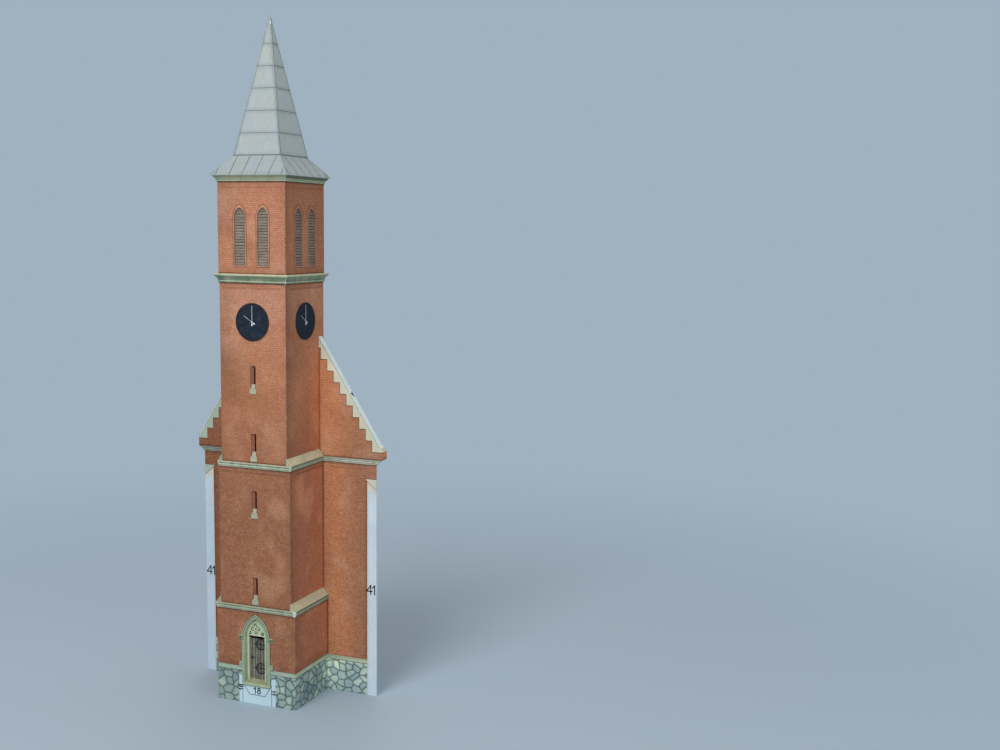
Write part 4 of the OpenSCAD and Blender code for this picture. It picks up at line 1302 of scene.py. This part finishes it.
tabs = Piece("gluing_areas", "bare", "white_card")
marks = Piece("gluing_lines", "ink", "white_card")
y = FRONT - 0.03
left_fold, right_fold = -4.86, 5.36
tabs.box((left_fold, y, 0.02), (right_fold - 0.06, FRONT + SINK, PORTAL_FOOT))
tabs.box((left_fold - 1.24, y, 0.02), (left_fold, FRONT + SINK, 8.7))
tabs.box((right_fold + 0.06, y, 0.02), (right_fold + 1.39, FRONT + SINK, 8.7))
trapezoid = [(-4.35, 5.5), (-2.4, 2.9), (3.0, 2.85), (4.75, 5.45)]
for a, b in zip(trapezoid, trapezoid[1:]):
    marks.tube(at(y, (a, b)), 0.085, 4)
for x in (left_fold, right_fold):
    marks.box((x - 0.07, y - 0.01, 0.02), (x + 0.07, FRONT + SINK, 5.7))
for flip in BOTH_SIDES:
    tabs.box((TAB_X, WING_Y - 0.04, 0.02), (WING_X - 0.02, WING_Y + SINK, TAB_TOP), flip=flip)
tabs.make()
triangles = Piece("gluing_triangles", "cream", "cream_trim")
for flip in BOTH_SIDES:
    a, b, foot = TAB_X - 0.75, WING_X - 0.02, TAB_TOP - 3.4
    triangles.prism([(a, TAB_TOP), (b, TAB_TOP), (b, foot)], WING_Y - 0.07, WING_Y + SINK, flip=flip)
    marks.tube(at(WING_Y - 0.06, [(a, TAB_TOP), (b - 0.03, foot)]), 0.06, 4, flip=flip)
    marks.box((a - 0.05, WING_Y - 0.06, TAB_TOP - 0.02), (b, WING_Y + SINK, TAB_TOP + 0.12), flip=flip)
triangles.make()

# strokes of the digits, one unit high
loop = [math.pi * i / 7 for i in range(15)]
DIGITS = {
    "1": [[(0.04, 0.72), (0.3, 1.0), (0.3, 0.0)]],
    "4": [[(0.5, 0.0), (0.5, 1.0), (0.0, 0.32), (0.68, 0.32)]],
    "8": [[(0.32 + rx * math.cos(t), z + rz * math.sin(t)) for t in loop]
          for z, rx, rz in ((0.76, 0.21, 0.22), (0.28, 0.27, 0.27))],
}


def number(text, place, right, up, height, width):
    """A plain assembly number printed on a card: place is its middle."""
    right, up = Vector(right).normalized(), Vector(up).normalized()
    out = right.cross(up)
    pitch = 0.68
    x = -pitch / 2 * len(text)
    for char in text:
        for stroke in DIGITS[char]:
            points = [Vector(place) + (right * (x + a) + up * (b - 0.5)) * height for a, b in stroke]
            for p, q in zip(points, points[1:]):
                d = (q - p).normalized()
                marks.rib(p - d * width * 0.3, q + d * width * 0.3, d.cross(out), out, width, 0.03)
        x += pitch


number("41", (-28.95, WING_Y - 0.04, 34.0), (1, 0, 0), (0, 0, 1), 2.8, 0.52)
number("41", (29.6, WING_Y - 0.04, 34.2), (1, 0, 0), (0, 0, 1), 2.8, 0.52)
number("18", (0.3, y, 4.34), (1, 0, 0), (0, 0, 1), 1.85, 0.44)
number("18", (-5.5, y, 4.7), (0, 0, 1), (-1, 0, 0), 1.4, 0.42)
number("11", (5.95, y, 4.3), (0, 0, -1), (1, 0, 0), 1.3, 0.42)
slope = Vector((SLOPE_END_X - CLOCK_HALF, 0, SLOPE_END_Z - GABLE_TOP)).normalized()
middle = Vector((CLOCK_HALF, GABLE_Y + 1.0, GABLE_TOP)) + slope * 20.6
number("4", middle + Vector((-slope.z, 0, slope.x)) * 0.01, (0, 1, 0), slope, 1.5, 0.24)
marks.make()


# ---- Coping ----

coping_lines = Piece("coping_lines", "step_line", "cream_trim")
creases = Piece("coping_creases", "crease", "cream_trim")
steps = 10
gable_slope = (GABLE_TOP - SLOPE_END_Z) / (SLOPE_END_X - CLOCK_HALF)
step_h = (GABLE_TOP - COPING_Z) / steps
stair = []
for i in range(steps - 1):
    z = COPING_Z + step_h * (steps - 1 - i)
    x = CLOCK_HALF + (GABLE_TOP - z) / gable_slope - 1.5
    stair += [(stair[-1][0] if stair else CLOCK_HALF, z), (x, z)]
stair += [(stair[-1][0], COPING_Z), (KNEELER_X, COPING_Z)]
for flip in BOTH_SIDES:
    for a, b in zip(stair, stair[1:]):
        x0, x1, z0, z1 = min(a[0], b[0]), max(a[0], b[0]), min(a[1], b[1]), max(a[1], b[1])
        coping_lines.box((x0 - 0.13, GABLE_Y - 0.03, z0 - 0.17),
                         (min(x1 + 0.02, KNEELER_X), GABLE_Y + SINK, z1 + 0.02), flip=flip)
    # a painted shadow line along the fold under each slope strip
    n = Vector((gable_slope, 0, 1)).normalized()
    top = Vector((CLOCK_HALF, GABLE_Y, GABLE_TOP)) - n * 0.24
    end = Vector((SLOPE_END_X, GABLE_Y, SLOPE_END_Z)) - n * 0.24
    creases.rib(top, end, n, (0, -1, 0), 0.34, 0.02, flip=flip)
coping_lines.make()
creases.make()


# ---- Floor, light and camera ----

def stage_material(name):
    """Pale paper that keeps the object's shadow and fades into the plain background far away."""
    m = Mat(name, 0.9, 0.1)
    m.done(m.mix(m.step(m.noise(0.4, 3.0), 0.4, 0.7, 0.0, 0.04), PAPER, (168, 180, 188)))
    far = m.node("VectorMath", operation="LENGTH")
    m.put(far.inputs[0], m.pos)
    path = m.node("LightPath")
    glow = m.fill(m.node("Emission"), {"Color": PAPER})
    blend = m.node("MixShader")
    distance = Value(m, far.outputs["Value"])
    m.put(blend.inputs[0], m.step(distance, 110.0, 400.0) * Value(m, path.outputs["Is Camera Ray"]))
    m.tree.links.new(m.shader.outputs[0], blend.inputs[1])
    m.tree.links.new(glow.outputs[0], blend.inputs[2])
    m.tree.links.new(blend.outputs[0], m.tree.nodes["Material Output"].inputs["Surface"])
    return m.mat


floor_mesh = bpy.data.meshes.new("floor")
floor_mesh.from_pydata([(-6, -6, 0), (6, -6, 0), (6, 6, 0), (-6, 6, 0)], [], [(0, 1, 2, 3)])
floor_mesh.materials.append(stage_material("floor_paper"))
floor = bpy.data.objects.new("floor", floor_mesh)
bpy.context.scene.collection.objects.link(floor)

world = bpy.data.worlds.new("studio")
bpy.context.scene.world = world
world.use_nodes = True
tree = world.node_tree
sky = tree.nodes["Background"]
sky.inputs["Color"].default_value = (1.0, 1.0, 1.0, 1.0)
sky.inputs["Strength"].default_value = 0.5
seen = tree.nodes.new("ShaderNodeBackground")
seen.inputs["Color"].default_value = linear(*PAPER)
seen.inputs["Strength"].default_value = 1.0
rays = tree.nodes.new("ShaderNodeLightPath")
either = tree.nodes.new("ShaderNodeMixShader")
tree.links.new(rays.outputs["Is Camera Ray"], either.inputs[0])
tree.links.new(sky.outputs[0], either.inputs[1])
tree.links.new(seen.outputs[0], either.inputs[2])
tree.links.new(either.outputs[0], tree.nodes["World Output"].inputs["Surface"])


def lamp(name, place, target, size, power, colour=(1, 1, 1)):
    data = bpy.data.lights.new(name, "AREA")
    data.shape = "DISK"
    data.size = size
    data.energy = power
    data.color = colour
    thing = bpy.data.objects.new(name, data)
    bpy.context.scene.collection.objects.link(thing)
    thing.location = place
    thing.rotation_euler = (Vector(target) - Vector(place)).to_track_quat("-Z", "Y").to_euler()


lamp("key", (-0.01, -0.45, 0.53), (0, 0, 0.13), 0.32, 2.6, (1.0, 0.98, 0.95))
lamp("fill", (0.42, -0.2, 0.16), (0, 0, 0.1), 0.3, 0.3, (1.0, 0.98, 0.95))
lamp("back", (-0.3, 0.7, 0.5), (0, 0, 0.1), 0.5, 1.2)

camera_data = bpy.data.cameras.new("camera")
camera_data.sensor_width = 36
camera_data.lens = 44.07
camera_data.clip_start = 0.01
camera_data.clip_end = 50
camera = bpy.data.objects.new("camera", camera_data)
bpy.context.scene.collection.objects.link(camera)
turn = Matrix()
for axis, angle in (("Z", 0.36388), ("X", -0.11782), ("Y", -0.01283), ("X", math.pi / 2)):
    turn = turn @ Matrix.Rotation(angle, 4, axis)
camera.matrix_world = Matrix.Translation((0.197993, -0.324084, 0.146079)) @ turn
bpy.context.scene.camera = camera
bpy.context.scene.view_settings.view_transform = "Standard"
